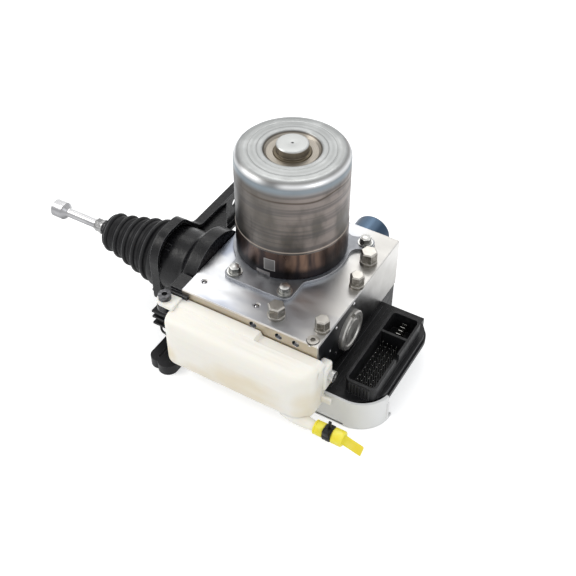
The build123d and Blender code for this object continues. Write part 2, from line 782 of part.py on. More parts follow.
# Motor flange: a steel plate with four ears, straight in front
with BuildPart() as motor_flange:
    with BuildSketch(Plane.XY.offset(block_top)) as flange_outline:
        Circle(flange_plate_radius)
        (first_x, first_y), (second_x, second_y) = motor_bolt_places[:2]
        with Locations(((first_x + second_x) / 2, first_y - flange_ear_radius)):
            Rectangle(second_x - first_x + 2 * flange_ear_radius, 30, align=(Align.CENTER, Align.MIN))
        fillet(flange_outline.vertices().group_by(Axis.Y)[0], flange_ear_radius - 0.5)
        for x, y in motor_bolt_places[2:]:
            reach = Vector(x, y).length
            with Locations((x / 2, y / 2)):
                SlotCenterToCenter(reach, 2 * flange_ear_radius, rotation=degrees(atan2(y, x)))
        corners = [v for v in flange_outline.vertices() if abs(v.Y) > 1.0]
        fillet([v for v in corners if abs(v.center().length - flange_plate_radius) < 0.01], flange_ear_radius)
        Circle(drive_bore_radius + 2, mode=Mode.SUBTRACT)
        with Locations(*motor_bolt_places):
            Circle(motor_bolt_radius + seat_gap, mode=Mode.SUBTRACT)
    extrude(amount=flange_plate_thickness)
motor_flange.part.label = "motor_flange"
export_step(motor_flange.part, "parts/motor_flange.step")

# Motor bolts: hex heads on wide washers
with BuildPart() as motor_bolts:
    with Locations(*[(x, y, motor_base) for x, y in motor_bolt_places]):
        Cylinder(motor_washer_radius, motor_washer_thickness, align=(Align.CENTER, Align.CENTER, Align.MIN))
        Cylinder(
            motor_bolt_radius - seat_gap, flange_plate_thickness + motor_bolt_depth - 1,
            align=(Align.CENTER, Align.CENTER, Align.MAX),
        )
    with BuildSketch(Plane.XY.offset(motor_base + motor_washer_thickness)):
        with Locations(*motor_bolt_places):
            RegularPolygon(motor_bolt_flats / 2, 6, major_radius=False, rotation=8)
    extrude(amount=motor_bolt_head)
motor_bolts.part.label = "motor_bolts"
export_step(motor_bolts.part, "parts/motor_bolts.step")

# Motor base ring: the turned end shield, with the lower bearing's seat and a small locating notch
with BuildPart() as motor_base_ring:
    with BuildSketch(motor_plane):
        with BuildLine():
            Polyline(
                (lower_bearing[1] + seat_gap, motor_base),
                (motor_radius - 0.8, motor_base),
                (motor_radius, motor_base + 0.8),
                (motor_radius, can_base),
                (motor_inner, can_base),
                (motor_inner, motor_base + 4),
                (lower_bearing[1] + 3, motor_base + 4),
                (lower_bearing[1] + 3, motor_base + bearing_width + 1),
                (lower_bearing[1] + seat_gap, motor_base + bearing_width + 1),
                close=True,
            )
        make_face()
    revolve(axis=Axis.Z)
    with Locations((0, -motor_radius, motor_base)):
        Box(11.0, 3.0, 5.0, mode=Mode.SUBTRACT)
motor_base_ring.part.label = "motor_base_ring"
export_step(motor_base_ring.part, "parts/motor_base_ring.step")

# Motor can: deep-drawn steel, with a recessed top and a closed hub over the upper bearing
recess_floor = can_top - can_recess_depth
can_inside = recess_floor - motor_wall
with BuildPart() as motor_can:
    with BuildSketch(motor_plane):
        with BuildLine():
            FilletPolyline(
                (motor_inner, can_base),
                (motor_radius, can_base),
                (motor_radius, can_top),
                (can_recess_radius + 1.2, can_top),
                (can_recess_radius - 1.8, recess_floor),
                (hub_radius, recess_floor),
                (hub_radius, can_top + hub_height),
                (0, can_top + hub_height),
                (0, can_inside),
                (upper_bearing[1] + seat_gap, can_inside),
                (upper_bearing[1] + seat_gap, can_inside - bearing_width),
                (upper_bearing[1] + 2.2, can_inside - bearing_width),
                (upper_bearing[1] + 2.2, can_inside),
                (can_recess_radius + 0.8, can_top - motor_wall),
                (motor_inner, can_top - motor_wall),
                radius=(
                    0, 0, can_shoulder, 1.5, 1.2, 0.6, 0.8, 0, 0, 0, 0, 0, 0, 0.5, can_shoulder - motor_wall
                ),
                close=True,
            )
        make_face()
    revolve(axis=Axis.Z)
motor_can.part.label = "motor_can"
export_step(motor_can.part, "parts/motor_can.step")

# Bearings at both ends of the rotor
for bearing_name, (inner, outer), level in (
    ("upper_bearing", upper_bearing, can_inside - bearing_width),
    ("lower_bearing", lower_bearing, motor_base + 1),
):
    with BuildPart() as bearing:
        with BuildSketch(Plane.XY.offset(level)):
            Circle(outer)
            Circle(inner + running_gap, mode=Mode.SUBTRACT)
        extrude(amount=bearing_width)
    bearing.part.label = bearing_name
    export_step(bearing.part, f"parts/{bearing_name}.step")

# Stator: a toothed lamination stack, and the windings in its slots
stator_base = motor_base + stator_lift
stator_top = can_base + stator_rise
slot_middle = (stator_inner + stator_outer) / 2 + 0.5
slot_depth = (stator_outer - stator_inner) / 2 + 0.5
with BuildPart() as stator:
    with BuildSketch(Plane.XY.offset(stator_base)):
        Circle(stator_outer)
        Circle(stator_inner, mode=Mode.SUBTRACT)
        with PolarLocations(slot_middle, tooth_count):
            Rectangle(slot_depth, slot_width, mode=Mode.SUBTRACT)
    extrude(amount=stator_top - stator_base)
stator.part.label = "stator"
export_step(stator.part, "parts/stator.step")

with BuildPart() as stator_windings:
    with BuildSketch(Plane.XY.offset(stator_base - 4)):
        with PolarLocations(slot_middle, tooth_count):
            Rectangle(slot_depth - 2 * seat_gap, slot_width - 2 * seat_gap)
    extrude(amount=stator_top - stator_base + 8)
stator_windings.part.label = "stator_windings"
export_step(stator_windings.part, "parts/stator_windings.step")

# Rotor: a hollow shaft that carries the magnets outside and the ball nut inside
rotor_base = motor_base + 1
screw_top = stator_top + 2
with BuildPart() as rotor:
    with BuildSketch(motor_plane):
        with BuildLine():
            Polyline(
                (nut_radius, rotor_base),
                (lower_bearing[0], rotor_base),
                (lower_bearing[0], rotor_base + bearing_width + 2),
                (rotor_radius, rotor_base + bearing_width + 2),
                (rotor_radius, can_inside - bearing_width - 1),
                (upper_bearing[0], can_inside - bearing_width - 1),
                (upper_bearing[0], can_inside - 1),
                (0, can_inside - 1),
                (0, screw_top + 3),
                (screw_radius + 4, screw_top + 3),
                (screw_radius + 4, rotor_base + 32),
                (nut_radius, rotor_base + 32),
                close=True,
            )
        make_face()
    revolve(axis=Axis.Z)
rotor.part.label = "rotor"
export_step(rotor.part, "parts/rotor.step")

with BuildPart() as rotor_magnets:
    with BuildSketch(Plane.XY.offset(stator_base + 2)):
        Circle(rotor_radius + magnet_thickness)
        Circle(rotor_radius + seat_gap, mode=Mode.SUBTRACT)
        with PolarLocations(rotor_radius + magnet_thickness / 2, magnet_count):
            Rectangle(2 * magnet_thickness, 1.5, mode=Mode.SUBTRACT)
    extrude(amount=stator_top - stator_base - 4)
rotor_magnets.part.label = "rotor_magnets"
export_step(rotor_magnets.part, "parts/rotor_magnets.step")

# Ball nut, pressed into the rotor, and the screw that it drives up and down
with BuildPart() as ball_nut:
    with BuildSketch(Plane.XY.offset(rotor_base + 2)):
        Circle(nut_radius - seat_gap)
        Circle(screw_radius + running_gap, mode=Mode.SUBTRACT)
    extrude(amount=29)
ball_nut.part.label = "ball_nut"
export_step(ball_nut.part, "parts/ball_nut.step")

piston_top = block_top - 1
spigot_radius = 4.0
spigot_length = 6.0
with BuildPart() as drive_screw:
    with BuildSketch(motor_plane):
        with BuildLine():
            Polyline(
                (0, piston_top - spigot_length),
                (spigot_radius, piston_top - spigot_length),
                (spigot_radius, piston_top),
                (screw_radius, piston_top),
                (screw_radius, screw_top),
                (0, screw_top),
                close=True,
            )
        make_face()
    revolve(axis=Axis.Z)
drive_screw.part.label = "drive_screw"
export_step(drive_screw.part, "parts/drive_screw.step")

# Drive piston: pushes the fluid when the motor turns
with BuildPart() as drive_piston:
    with Locations((0, 0, piston_top)):
        Cylinder(
            drive_bore_radius - running_gap, drive_piston_length,
            align=(Align.CENTER, Align.CENTER, Align.MAX),
        )
        Hole(spigot_radius + seat_gap, depth=spigot_length + seat_gap)
    chamfer(drive_piston.faces().sort_by(Axis.Z)[0].edges(), 1.0)
drive_piston.part.label = "drive_piston"
export_step(drive_piston.part, "parts/drive_piston.step")

with BuildPart() as pump_seals:
    with BuildSketch(Plane.XZ):
        for depth in pump_seal_depths:
            with Locations((drive_bore_radius + groove_depth / 2, block_top - depth)):
                Rectangle(groove_depth - 2 * seat_gap, groove_width - 2 * seat_gap)
    revolve(axis=Axis.Z)
pump_seals.part.label = "pump_seals"
export_step(pump_seals.part, "parts/pump_seals.step")

# Pedal-feel simulator: an anodised cap screwed into the rear face, over a spring and a piston
cap_thread_start = block_rear - simulator_thread_length + seat_gap
cap_end = block_rear + simulator_cap_length
cap_inside = cap_end - simulator_cap_wall
with BuildPart() as simulator_cap:
    with BuildSketch(simulator_plane):
        with BuildLine():
            FilletPolyline(
                (cap_thread_start, simulator_bore_radius),
                (cap_thread_start, simulator_thread_radius - seat_gap),
                (block_rear, simulator_thread_radius - seat_gap),
                (block_rear, simulator_cap_radius),
                (cap_end, simulator_cap_radius),
                (cap_end, 0),
                (cap_inside, 0),
                (cap_inside, simulator_bore_radius),
                radius=(0, 0, 0, 0, 3.0, 0, 0, 0),
                close=True,
            )
        make_face()
    revolve(axis=simulator_axis)
simulator_cap.part.label = "simulator_cap"
export_step(simulator_cap.part, "parts/simulator_cap.step")

simulator_piston_start = block_rear - simulator_bore_depth + 2
simulator_piston_end = simulator_piston_start + simulator_piston_length
with BuildPart() as simulator_piston:
    with BuildSketch(simulator_plane):
        with BuildLine():
            Polyline(
                (simulator_piston_start, 0),
                (simulator_piston_start, simulator_bore_radius - running_gap),
                (simulator_piston_end, simulator_bore_radius - running_gap),
                (simulator_piston_end, 5.5),
                (simulator_piston_end + 4.0, 5.5),
                (simulator_piston_end + 4.0, 0),
                close=True,
            )
        make_face()
    revolve(axis=simulator_axis)
simulator_piston.part.label = "simulator_piston"
export_step(simulator_piston.part, "parts/simulator_piston.step")

feel_wire = 3.0
feel_turns = 6
feel_radius = 8.2
feel_start = simulator_piston_end + feel_wire / 2 + seat_gap
feel_length = cap_inside - simulator_piston_end - feel_wire - 2 * seat_gap
with BuildPart() as simulator_spring:
    with BuildLine():
        coil = Helix(
            pitch=feel_length / feel_turns, height=feel_length, radius=feel_radius,
            center=(simulator_x, feel_start, simulator_z), direction=(0, 1, 0),
        )
    with BuildSketch(Plane(origin=coil @ 0, z_dir=coil % 0)):
        RegularPolygon(feel_wire / 2, 6)
    sweep(is_frenet=True)
simulator_spring.part.label = "simulator_spring"
export_step(simulator_spring.part, "parts/simulator_spring.step")

# Reservoir: a blow-moulded tank in front of the block, with feed nipples, fixing lugs and a spout
tank_plane = Plane(origin=(tank_left, 0, block_top), x_dir=(0, 1, 0), z_dir=(1, 0, 0))
tank_length = tank_right - tank_left
tank_corner = 6.0
tank_ends = (10.0, 14.0)
with BuildPart() as tank_cavity:
    with BuildSketch(tank_plane):
        with BuildLine():
            FilletPolyline(
                (tank_back - tank_wall, tank_top - tank_step - tank_wall),
                (tank_front + tank_wall, tank_top - tank_step - tank_wall),
                (tank_front + tank_wall, tank_bottom + tank_wall),
                (tank_back - tank_wall, tank_bottom + tank_wall),
                radius=tank_corner - tank_wall,
                close=True,
            )
        make_face()
    extrude(amount=tank_length)
    with BuildSketch(Plane.XY.offset(block_top + tank_bottom)):
        with BuildLine():
            FilletPolyline(
                (tank_left + tank_wall, tank_back),
                (tank_right - tank_wall, tank_back),
                (tank_right - tank_wall, tank_front + tank_wall),
                (tank_left + tank_wall, tank_front + tank_wall),
                radius=(0, 0, tank_ends[1] - tank_wall, tank_ends[0] - tank_wall),
                close=True,
            )
        make_face()
    extrude(amount=tank_top - tank_bottom, mode=Mode.INTERSECT)

spout_start = tank_right - tank_ends[1]
with BuildPart() as reservoir:
    with BuildSketch(tank_plane):
        with BuildLine():
            FilletPolyline(
                (tank_back, tank_top),
                (tank_front, tank_top - 2.3),
                (tank_front, tank_bottom),
                (tank_back, tank_bottom),
                radius=(2.0, tank_corner, tank_corner, 3.0),
                close=True,
            )
        make_face()
    extrude(amount=tank_length)
    with BuildSketch(Plane.XY.offset(block_top + tank_bottom)):
        with BuildLine():
            FilletPolyline(
                (tank_left, tank_back),
                (tank_right, tank_back),
                (tank_right, tank_front),
                (tank_left, tank_front),
                radius=(0, 0, tank_ends[1], tank_ends[0]),
                close=True,
            )
        make_face()
    extrude(amount=tank_top - tank_bottom, mode=Mode.INTERSECT)
    with Locations((tank_right, tank_back, block_top + tank_top)):
        Box(
            tank_right - tank_step_x, 20.0, 2 * tank_step,
            align=(Align.MAX, Align.CENTER, Align.CENTER), mode=Mode.SUBTRACT,
        )
    # Swelling of the front wall
    with BuildSketch(Plane(origin=(0, tank_front + tank_wall, block_top), x_dir=(1, 0, 0), z_dir=(0, -1, 0))):
        with Locations(((tank_left + tank_right) / 2, (tank_top + tank_bottom) / 2)):
            RectangleRounded(tank_length - 2 * tank_ends[1], tank_top - tank_bottom - 15.0, 8.0)
    extrude(amount=tank_wall + 1.8)
    fillet(reservoir.faces().sort_by(Axis.Y)[0].edges(), 1.4)
    # Left ear on the bracket's tab, right lug on the block's side, and the clip tab
    with BuildSketch(ear_plane.offset(-tank_ear_thickness)):
        with Locations(((tank_left + 4 - ear_screw_place[0]) / 2, 0)):
            SlotCenterToCenter(tank_left + 4 - ear_screw_place[0], tank_ear_width)
    extrude(amount=tank_ear_thickness)
    with Locations((block_right + soft_gap, tank_lug_y - 7.5, block_top - tank_lug_drop)):
        Box(
            tank_lug_width - soft_gap, tank_lug_depth, tank_lug_height,
            align=(Align.MIN, Align.MIN, Align.CENTER),
        )
    with Locations((tank_right - 2, tank_back - 4.4, block_top - tank_lug_drop - 19)):
        Box(*clip_tab, align=(Align.MIN, Align.CENTER, Align.CENTER))
    # Nipples into the block, and the filler spout
    for x in feed_places:
        with Locations(Plane(origin=(x, tank_back - 1, block_top - feed_drop), z_dir=(0, 1, 0))):
            Cylinder(nipple_radius, nipple_length + 1, align=(Align.CENTER, Align.CENTER, Align.MIN))
    with BuildSketch(spout_plane):
        with Locations(((spout_start + spout_end) / 2, spout_radius / 2)):
            Rectangle(spout_end - spout_start, spout_radius)
    revolve(axis=spout_axis)
    add(tank_cavity.part, mode=Mode.SUBTRACT)
    for x in feed_places:
        with Locations(Plane(origin=(x, tank_back + nipple_length, block_top - feed_drop), z_dir=(0, 1, 0))):
            Hole(feed_channel_radius, depth=nipple_length + tank_wall + 1)
    with Locations(Plane(origin=(spout_end, spout_y, block_top - spout_drop), z_dir=(1, 0, 0))):
        Hole(spout_bore, depth=spout_end - spout_start)
    with Locations((spout_start + 2, spout_y + spout_bore, block_top - spout_drop)):
        Cylinder(spout_bore - 0.4, 8.0, align=(Align.CENTER, Align.CENTER, Align.MIN), mode=Mode.SUBTRACT)
    with Locations(ear_plane):
        Hole(ear_screw_radius + seat_gap, depth=tank_ear_thickness)
    with Locations(lug_plane):
        Hole(ear_screw_radius + seat_gap, depth=tank_lug_width)
reservoir.part.label = "reservoir"
export_step(reservoir.part, "parts/reservoir.step")

# Feed grommets: rubber rings that seal the nipples in the block
with BuildPart() as feed_grommets:
    for x in feed_places:
        with BuildSketch(Plane(origin=(x, block_front, block_top - feed_drop), z_dir=(0, 1, 0))):
            Circle(grommet_radius - seat_gap)
            Circle(nipple_radius + seat_gap, mode=Mode.SUBTRACT)
        extrude(amount=grommet_depth - seat_gap)
feed_grommets.part.label = "feed_grommets"
export_step(feed_grommets.part, "parts/feed_grommets.step")

# Reservoir screws: one down through the ear into the bracket, one sideways into the block
with BuildPart() as reservoir_screws:
    for plane, (head_radius, head_height, shank_length, socket_radius, socket_depth) in (
        (ear_plane, ear_screw), (lug_plane.offset(seat_gap), lug_screw)
    ):
        with BuildSketch(plane):
            Circle(head_radius)
        extrude(amount=head_height)
        with BuildSketch(plane):
            Circle(ear_screw_radius - seat_gap)
        extrude(amount=-shank_length)
        with BuildSketch(plane.offset(head_height)):
            Circle(socket_radius)
        extrude(amount=-socket_depth, mode=Mode.SUBTRACT)
reservoir_screws.part.label = "reservoir_screws"
export_step(reservoir_screws.part, "parts/reservoir_screws.step")

# Spout cap: a soft sleeve closed by a flat stub, pushed over the spout
with BuildPart() as spout_cap:
    with BuildSketch(spout_plane):
        with BuildLine():
            FilletPolyline(
                (cap_start, spout_radius + seat_gap),
                (cap_start, cap_radii[0]),
                (cap_neck[0], cap_radii[0]),
                (cap_neck[0], cap_radii[1]),
                (cap_neck[1], cap_radii[1]),
                (cap_neck[1], cap_radii[2]),
                (cap_end_x, cap_radii[2]),
                (cap_end_x, 0),
                (spout_end + seat_gap, 0),
                (spout_end + seat_gap, spout_radius + seat_gap),
                radius=(0, 0.5, 0.5, 0, 0, 0.8, 1.5, 0, 0, 0),
                close=True,
            )
        make_face()
    revolve(axis=spout_axis)
    with BuildSketch(spout_section.offset(cap_end_x - 1)):
        with Locations(Rotation(0, 0, -cap_stub_roll)):
            RectangleRounded(cap_stub[0], cap_stub[1], 1.0)
    extrude(amount=cap_stub[2] + 1, dir=(cap_stub[2], 0, -cap_stub_droop))
spout_cap.part.label = "spout_cap"
export_step(spout_cap.part, "parts/spout_cap.step")

# Cable tie round the cap's neck, with its latch head and cut tail
tie_start = (cap_neck[0] + cap_neck[1] - tie_width) / 2 + 0.6
tie_plane = spout_section.offset(tie_start)
with BuildPart() as cable_tie:
    with BuildSketch(tie_plane):
        Circle(cap_radii[1] + 1.4)
        Circle(cap_radii[1] + seat_gap, mode=Mode.SUBTRACT)
    extrude(amount=tie_width)
    with BuildSketch(tie_plane):
        with Locations((4.6, 4.9)):
            Rectangle(4.6, 4.6, rotation=45)
        with Locations((1.2, 9.2)):
            Rectangle(10.0, 1.3, rotation=-45)
        Circle(cap_radii[1] + seat_gap, mode=Mode.SUBTRACT)
    extrude(amount=tie_width)
cable_tie.part.label = "cable_tie"
export_step(cable_tie.part, "parts/cable_tie.step")

# Electronics housing: a deep plastic box under the block, with the connector beside it
box_bottom = cover_floor + seat_gap
box_right = flange_right - flange_overhang
roof = electronics_height - housing_wall
connector_floor = shroud_top - shroud_depth
front_cell_y = (shroud_front + divider_y) / 2
back_cell_y = (shroud_rear + divider_y) / 2
flange_corners = (
    (block_right - 6, housing_front),
    (flange_right, housing_front),
    (flange_right, flange_rear),
    (block_right - 6, flange_rear),
)
flange_radii = (0, cover_corner, flange_rear_corner, 0)
inner_radii = (0, box_corner - housing_wall, 0, 0)
shroud_size = (shroud_right - shroud_left, shroud_rear - shroud_front)
shroud_inside = (shroud_size[0] - 2 * shroud_wall, shroud_size[1] - 2 * shroud_wall)
shroud_centre = ((shroud_right + shroud_left) / 2, (shroud_rear + shroud_front) / 2)


def box_corners(inset):
    """Corners of the box beside the block, clockwise from the front left."""
    return (
        (block_right - 10, housing_front + inset),
        (box_right - inset, housing_front + inset),
        (box_right - inset, flange_rear - inset),
        (block_right - 10, flange_rear - inset),
    )


with BuildPart() as electronics_housing:
    with BuildSketch(Plane.XY.offset(box_bottom)):
        with Locations((housing_left, housing_front)):
            Rectangle(block_right - housing_left, housing_rear - housing_front, align=(Align.MIN, Align.MIN))
        with BuildLine():
            FilletPolyline(*box_corners(0), radius=(0, box_corner, 0, 0), close=True)
        make_face()
    extrude(amount=electronics_height - box_bottom)
    fillet(electronics_housing.edges().filter_by(Axis.Z).group_by(Axis.X)[0], 3.0)
    for level, height, inset in (
        (flange_bottom, 4.0, 0.0),
        (flange_bottom, flange_height, flange_step + 0.8),
        (flange_bottom + 4.8, flange_height - 4.8, flange_step),
    ):
        with BuildSketch(Plane.XY.offset(level)):
            with BuildLine():
                FilletPolyline(*flange_corners, radius=flange_radii, close=True)
            make_face()
            if inset:
                offset(amount=-inset)
        extrude(amount=height)
    # Inside: the coil and board chamber, and the room under the connector
    with BuildSketch(Plane.XY.offset(box_bottom)):
        with Locations((housing_left + housing_wall, housing_front + housing_wall)):
            Rectangle(
                block_right - housing_left - 2 * housing_wall,
                housing_rear - housing_front - 2 * housing_wall,
                align=(Align.MIN, Align.MIN),
            )
    extrude(amount=roof - box_bottom, mode=Mode.SUBTRACT)
    with BuildSketch(Plane.XY.offset(box_bottom)):
        with BuildLine():
            FilletPolyline(*box_corners(housing_wall), radius=inner_radii, close=True)
        make_face()
    extrude(amount=connector_floor - housing_wall - box_bottom, mode=Mode.SUBTRACT)
    # Connector shroud with its key notch, ribs and the wall between the two cells
    with BuildSketch(Plane.XY.offset(electronics_height)):
        with Locations(shroud_centre):
            RectangleRounded(*shroud_size, shroud_corner)
    extrude(amount=shroud_height)
    with BuildSketch(Plane.XY.offset(connector_floor)):
        with Locations(shroud_centre):
            RectangleRounded(*shroud_inside, shroud_corner - shroud_wall)
    extrude(amount=shroud_depth, mode=Mode.SUBTRACT)
    with BuildSketch(Plane.XY.offset(connector_floor)):
        with Locations((shroud_centre[0], divider_y)):
            Rectangle(shroud_inside[0], shroud_wall)
    extrude(amount=shroud_depth - 1.0)
    with Locations((shroud_right, key_notch_y, shroud_top)):
        Box(3 * shroud_wall, key_notch_width, shroud_height, mode=Mode.SUBTRACT)
    rib_pitch = (shroud_size[0] - 2 * shroud_corner) / (shroud_rib_count - 1)
    with BuildSketch(Plane.XY.offset(electronics_height)):
        with Locations((shroud_centre[0], shroud_front)):
            with GridLocations(rib_pitch, 1, shroud_rib_count, 1):
                Rectangle(1.2, 1.6)
    extrude(amount=shroud_height - 2.0)
    with BuildSketch(Plane.XY.offset(electronics_height)):
        for x in ridge_places:
            with Locations((x, housing_front + 5)):
                Rectangle(1.2, flange_rear - housing_front - 10, align=(Align.CENTER, Align.MIN))
    extrude(amount=0.8)
    with BuildSketch(Plane.XY.offset(connector_floor)):
        with Locations((sum(pin_rows) / len(pin_rows), front_cell_y)):
            with GridLocations(pin_rows[1] - pin_rows[0], pin_pitch, len(pin_rows), pin_count):
                Rectangle(pin_size + 2 * seat_gap, pin_size + 2 * seat_gap)
        with Locations((shroud_centre[0], back_cell_y)):
            with GridLocations(1, blade_pitch, 1, blade_count):
                Rectangle(blade_size[0] + 2 * seat_gap, blade_size[1] + 2 * seat_gap)
    extrude(amount=-housing_wall, mode=Mode.SUBTRACT)
    # Holes for the valve stems and the screws, with a boss at each screw
    with Locations(*[(x, y, roof) for x, y in housing_screw_places]):
        Cylinder(boss_radius, boss_length, align=(Align.CENTER, Align.CENTER, Align.MAX))
    with Locations(*[(x, y, electronics_height) for x, y in housing_screw_places]):
        Hole(housing_screw_radius + seat_gap, depth=housing_wall + boss_length)
    with Locations(*[(x, y, electronics_height) for x, y in valve_places]):
        Hole(valve_stem_radius + soft_gap, depth=housing_wall)
    # Rail that holds the lead's connector
    with Locations((housing_left, foot_rear - rail_size[0], box_bottom + 1)):
        Box(*rail_size, align=(Align.MAX, Align.MAX, Align.MIN))
electronics_housing.part.label = "electronics_housing"
export_step(electronics_housing.part, "parts/electronics_housing.step")

# Housing screws: from inside the box, up into the block
with BuildPart() as housing_screws:
    with Locations(*[(x, y, roof - boss_length) for x, y in housing_screw_places]):
        Cylinder(boss_radius - 1.3, 3.0, align=(Align.CENTER, Align.CENTER, Align.MAX))
        Cylinder(
            housing_screw_radius,
            boss_length + housing_wall + gasket_thickness + housing_screw_grip,
            align=(Align.CENTER, Align.CENTER, Align.MIN),
        )
    with Locations(*[(x, y, roof - boss_length - 3) for x, y in housing_screw_places]):
        Cylinder(1.8, 2.0, align=(Align.CENTER, Align.CENTER, Align.MIN), mode=Mode.SUBTRACT)
housing_screws.part.label = "housing_screws"
export_step(housing_screws.part, "parts/housing_screws.step")

# Housing gasket: a thin rubber frame between the box and the block
with BuildPart() as housing_gasket:
    with BuildSketch(Plane.XY.offset(electronics_height)):
        with Locations(((block_left + block_right) / 2, (housing_front + housing_rear) / 2)):
            Rectangle(block_right - block_left - 1, housing_rear - housing_front - 1)
            Rectangle(
                block_right - block_left - 1 - 2 * gasket_width,
                housing_rear - housing_front - 1 - 2 * gasket_width,
                mode=Mode.SUBTRACT,
            )
        with Locations(*housing_screw_places):
            Circle(housing_screw_radius + seat_gap, mode=Mode.SUBTRACT)
    extrude(amount=gasket_thickness)
housing_gasket.part.label = "housing_gasket"
export_step(housing_gasket.part, "parts/housing_gasket.step")

# Circuit board, and the pins that rise from it into the connector
board_top = board_height + board_thickness
with BuildPart() as circuit_board:
    with BuildSketch(Plane.XY.offset(board_height)):
        with Locations((housing_left + housing_wall + 0.5, housing_front + housing_wall + 0.5)):
            Rectangle(
                block_right - housing_left - 2 * housing_wall - 1,
                housing_rear - housing_front - 2 * housing_wall - 1,
                align=(Align.MIN, Align.MIN),
            )
        with BuildLine():
            FilletPolyline(*box_corners(housing_wall + 0.5), radius=inner_radii, close=True)
        make_face()
    extrude(amount=board_thickness)
circuit_board.part.label = "circuit_board"
export_step(circuit_board.part, "parts/circuit_board.step")

pin_top = shroud_top - pin_top_gap
with BuildPart() as connector_pins:
    with BuildSketch(Plane.XY.offset(board_top)):
        with Locations((sum(pin_rows) / len(pin_rows), front_cell_y)):
            with GridLocations(pin_rows[1] - pin_rows[0], pin_pitch, len(pin_rows), pin_count):
                Rectangle(pin_size, pin_size)
        with Locations((shroud_centre[0], back_cell_y)):
            with GridLocations(1, blade_pitch, 1, blade_count):
                Rectangle(*blade_size)
    extrude(amount=pin_top - board_top)
connector_pins.part.label = "connector_pins"
export_step(connector_pins.part, "parts/connector_pins.step")

# Electronics cover: a shallow tray whose front wall rises round the corner
outer_front = housing_front - soft_gap - cover_wall
outer_right = flange_right + soft_gap + cover_wall
cover_radius = cover_corner + soft_gap + cover_wall
wall_end = housing_front + cover_corner + 1
with BuildPart() as electronics_cover:
    with BuildSketch(Plane.XY):
        with Locations((housing_left, outer_front)):
            Rectangle(block_right - housing_left, housing_rear - outer_front, align=(Align.MIN, Align.MIN))
            Rectangle(box_right - housing_left, flange_rear - outer_front, align=(Align.MIN, Align.MIN))
    extrude(amount=cover_floor)
    with BuildSketch(Plane.XY):
        with BuildLine():
            FilletPolyline(
                (housing_left, outer_front),
                (outer_right, outer_front),
                (outer_right, wall_end),
                (housing_left, wall_end),
                radius=(0, cover_radius, 0, 0),
                close=True,
            )
        make_face()
    extrude(amount=cover_floor)
    with BuildSketch(Plane.XY.offset(cover_floor)):
        with BuildLine():
            FilletPolyline(
                (housing_left, outer_front),
                (outer_right, outer_front),
                (outer_right, wall_end),
                (outer_right - cover_wall, wall_end),
                (outer_right - cover_wall, outer_front + cover_wall),
                (housing_left, outer_front + cover_wall),
                radius=(0, cover_radius, 0, 0, cover_radius - cover_wall, 0),
                close=True,
            )
        make_face()
    extrude(amount=electronics_height - soft_gap - cover_floor)
    with Locations((outer_right, wall_end, cover_floor + 3)):
        Box(
            2 * cover_corner, 12.0, 2 * electronics_height,
            align=(Align.CENTER, Align.CENTER, Align.MIN), mode=Mode.SUBTRACT,
        )
    with Locations(*[(x, y, cover_floor) for x, y in board_post_places]):
        Cylinder(board_post_radius, board_height - cover_floor, align=(Align.CENTER, Align.CENTER, Align.MIN))
electronics_cover.part.label = "electronics_cover"
export_step(electronics_cover.part, "parts/electronics_cover.step")

# Pedal travel sensor: a small finned body pegged under the bracket's lug
with BuildPart() as travel_sensor:
    with Locations((sensor_left, sensor_front, block_top + sensor_bottom)):
        Box(
            sensor_right - sensor_left, sensor_rear - sensor_front, sensor_top - sensor_bottom - seat_gap,
            align=(Align.MIN, Align.MIN, Align.MIN),
        )
    with Locations((sensor_left + 1, sensor_front + 2, block_top + sensor_bottom + fin_thickness / 2)):
        Box(
            sensor_left - fin_left - 3, sensor_rear - sensor_front - 4, fin_drops[-1] - fin_drops[0],
            align=(Align.MAX, Align.MIN, Align.MIN),
        )
    with Locations(*[(sensor_left + 1, fin_front, block_top - drop) for drop in fin_drops]):
        Box(
            sensor_left + 1 - fin_left, sensor_rear - fin_front - 1, fin_thickness,
            align=(Align.MAX, Align.MIN, Align.CENTER),
        )
    with Locations((*peg_place, block_top + sensor_top - seat_gap)):
        Cylinder(peg_radius, sensor_peg_length, align=(Align.CENTER, Align.CENTER, Align.MIN))
    lead_exit = (fin_left + 5.3, fin_front + 3.0, block_top - fin_drops[-1] - fin_thickness / 2)
    with Locations(Plane(origin=lead_exit, z_dir=(0, 0, -1))):
        Hole(lead_radius + seat_gap, depth=5.0)
travel_sensor.part.label = "travel_sensor"
export_step(travel_sensor.part, "parts/travel_sensor.step")

# Connector for the sensor's lead: a two-lobed plastic foot held on the housing's rail
lobe_left = (-63.5, -104.0, 8.0)
lobe_right = (-54.5, -106.0, 8.6)
foot_top_hole = (foot_left + 4.3, -88.0, foot_height)
foot_shelf = outer_front - foot_front_gap
with BuildPart() as lead_connector:
    with BuildSketch(Plane.XY):
        with Locations((foot_left, foot_rear)):
            Rectangle(
                housing_left - soft_gap - foot_left, foot_rear - lobe_left[1], align=(Align.MIN, Align.MAX)
            )
        with Locations((foot_left, foot_shelf)):
            Rectangle(foot_right - foot_left, foot_shelf - lobe_right[1], align=(Align.MIN, Align.MAX))
        for x, y, radius in (lobe_left, lobe_right):
            with Locations((x, y)):
                Circle(radius)
        with Locations(*foot_slot_places):
            SlotOverall(*foot_slot, rotation=90, mode=Mode.SUBTRACT)
        with Locations((housing_left, foot_rear - rail_size[0] + soft_gap)):
            Rectangle(
                rail_size[0] + 2 * soft_gap, rail_size[1] + 2 * soft_gap,
                align=(Align.MAX, Align.MAX), mode=Mode.SUBTRACT,
            )
    extrude(amount=foot_height)
    with Locations(foot_top_hole):
        Hole(lead_radius + seat_gap, depth=4.0)
lead_connector.part.label = "lead_connector"
export_step(lead_connector.part, "parts/lead_connector.step")

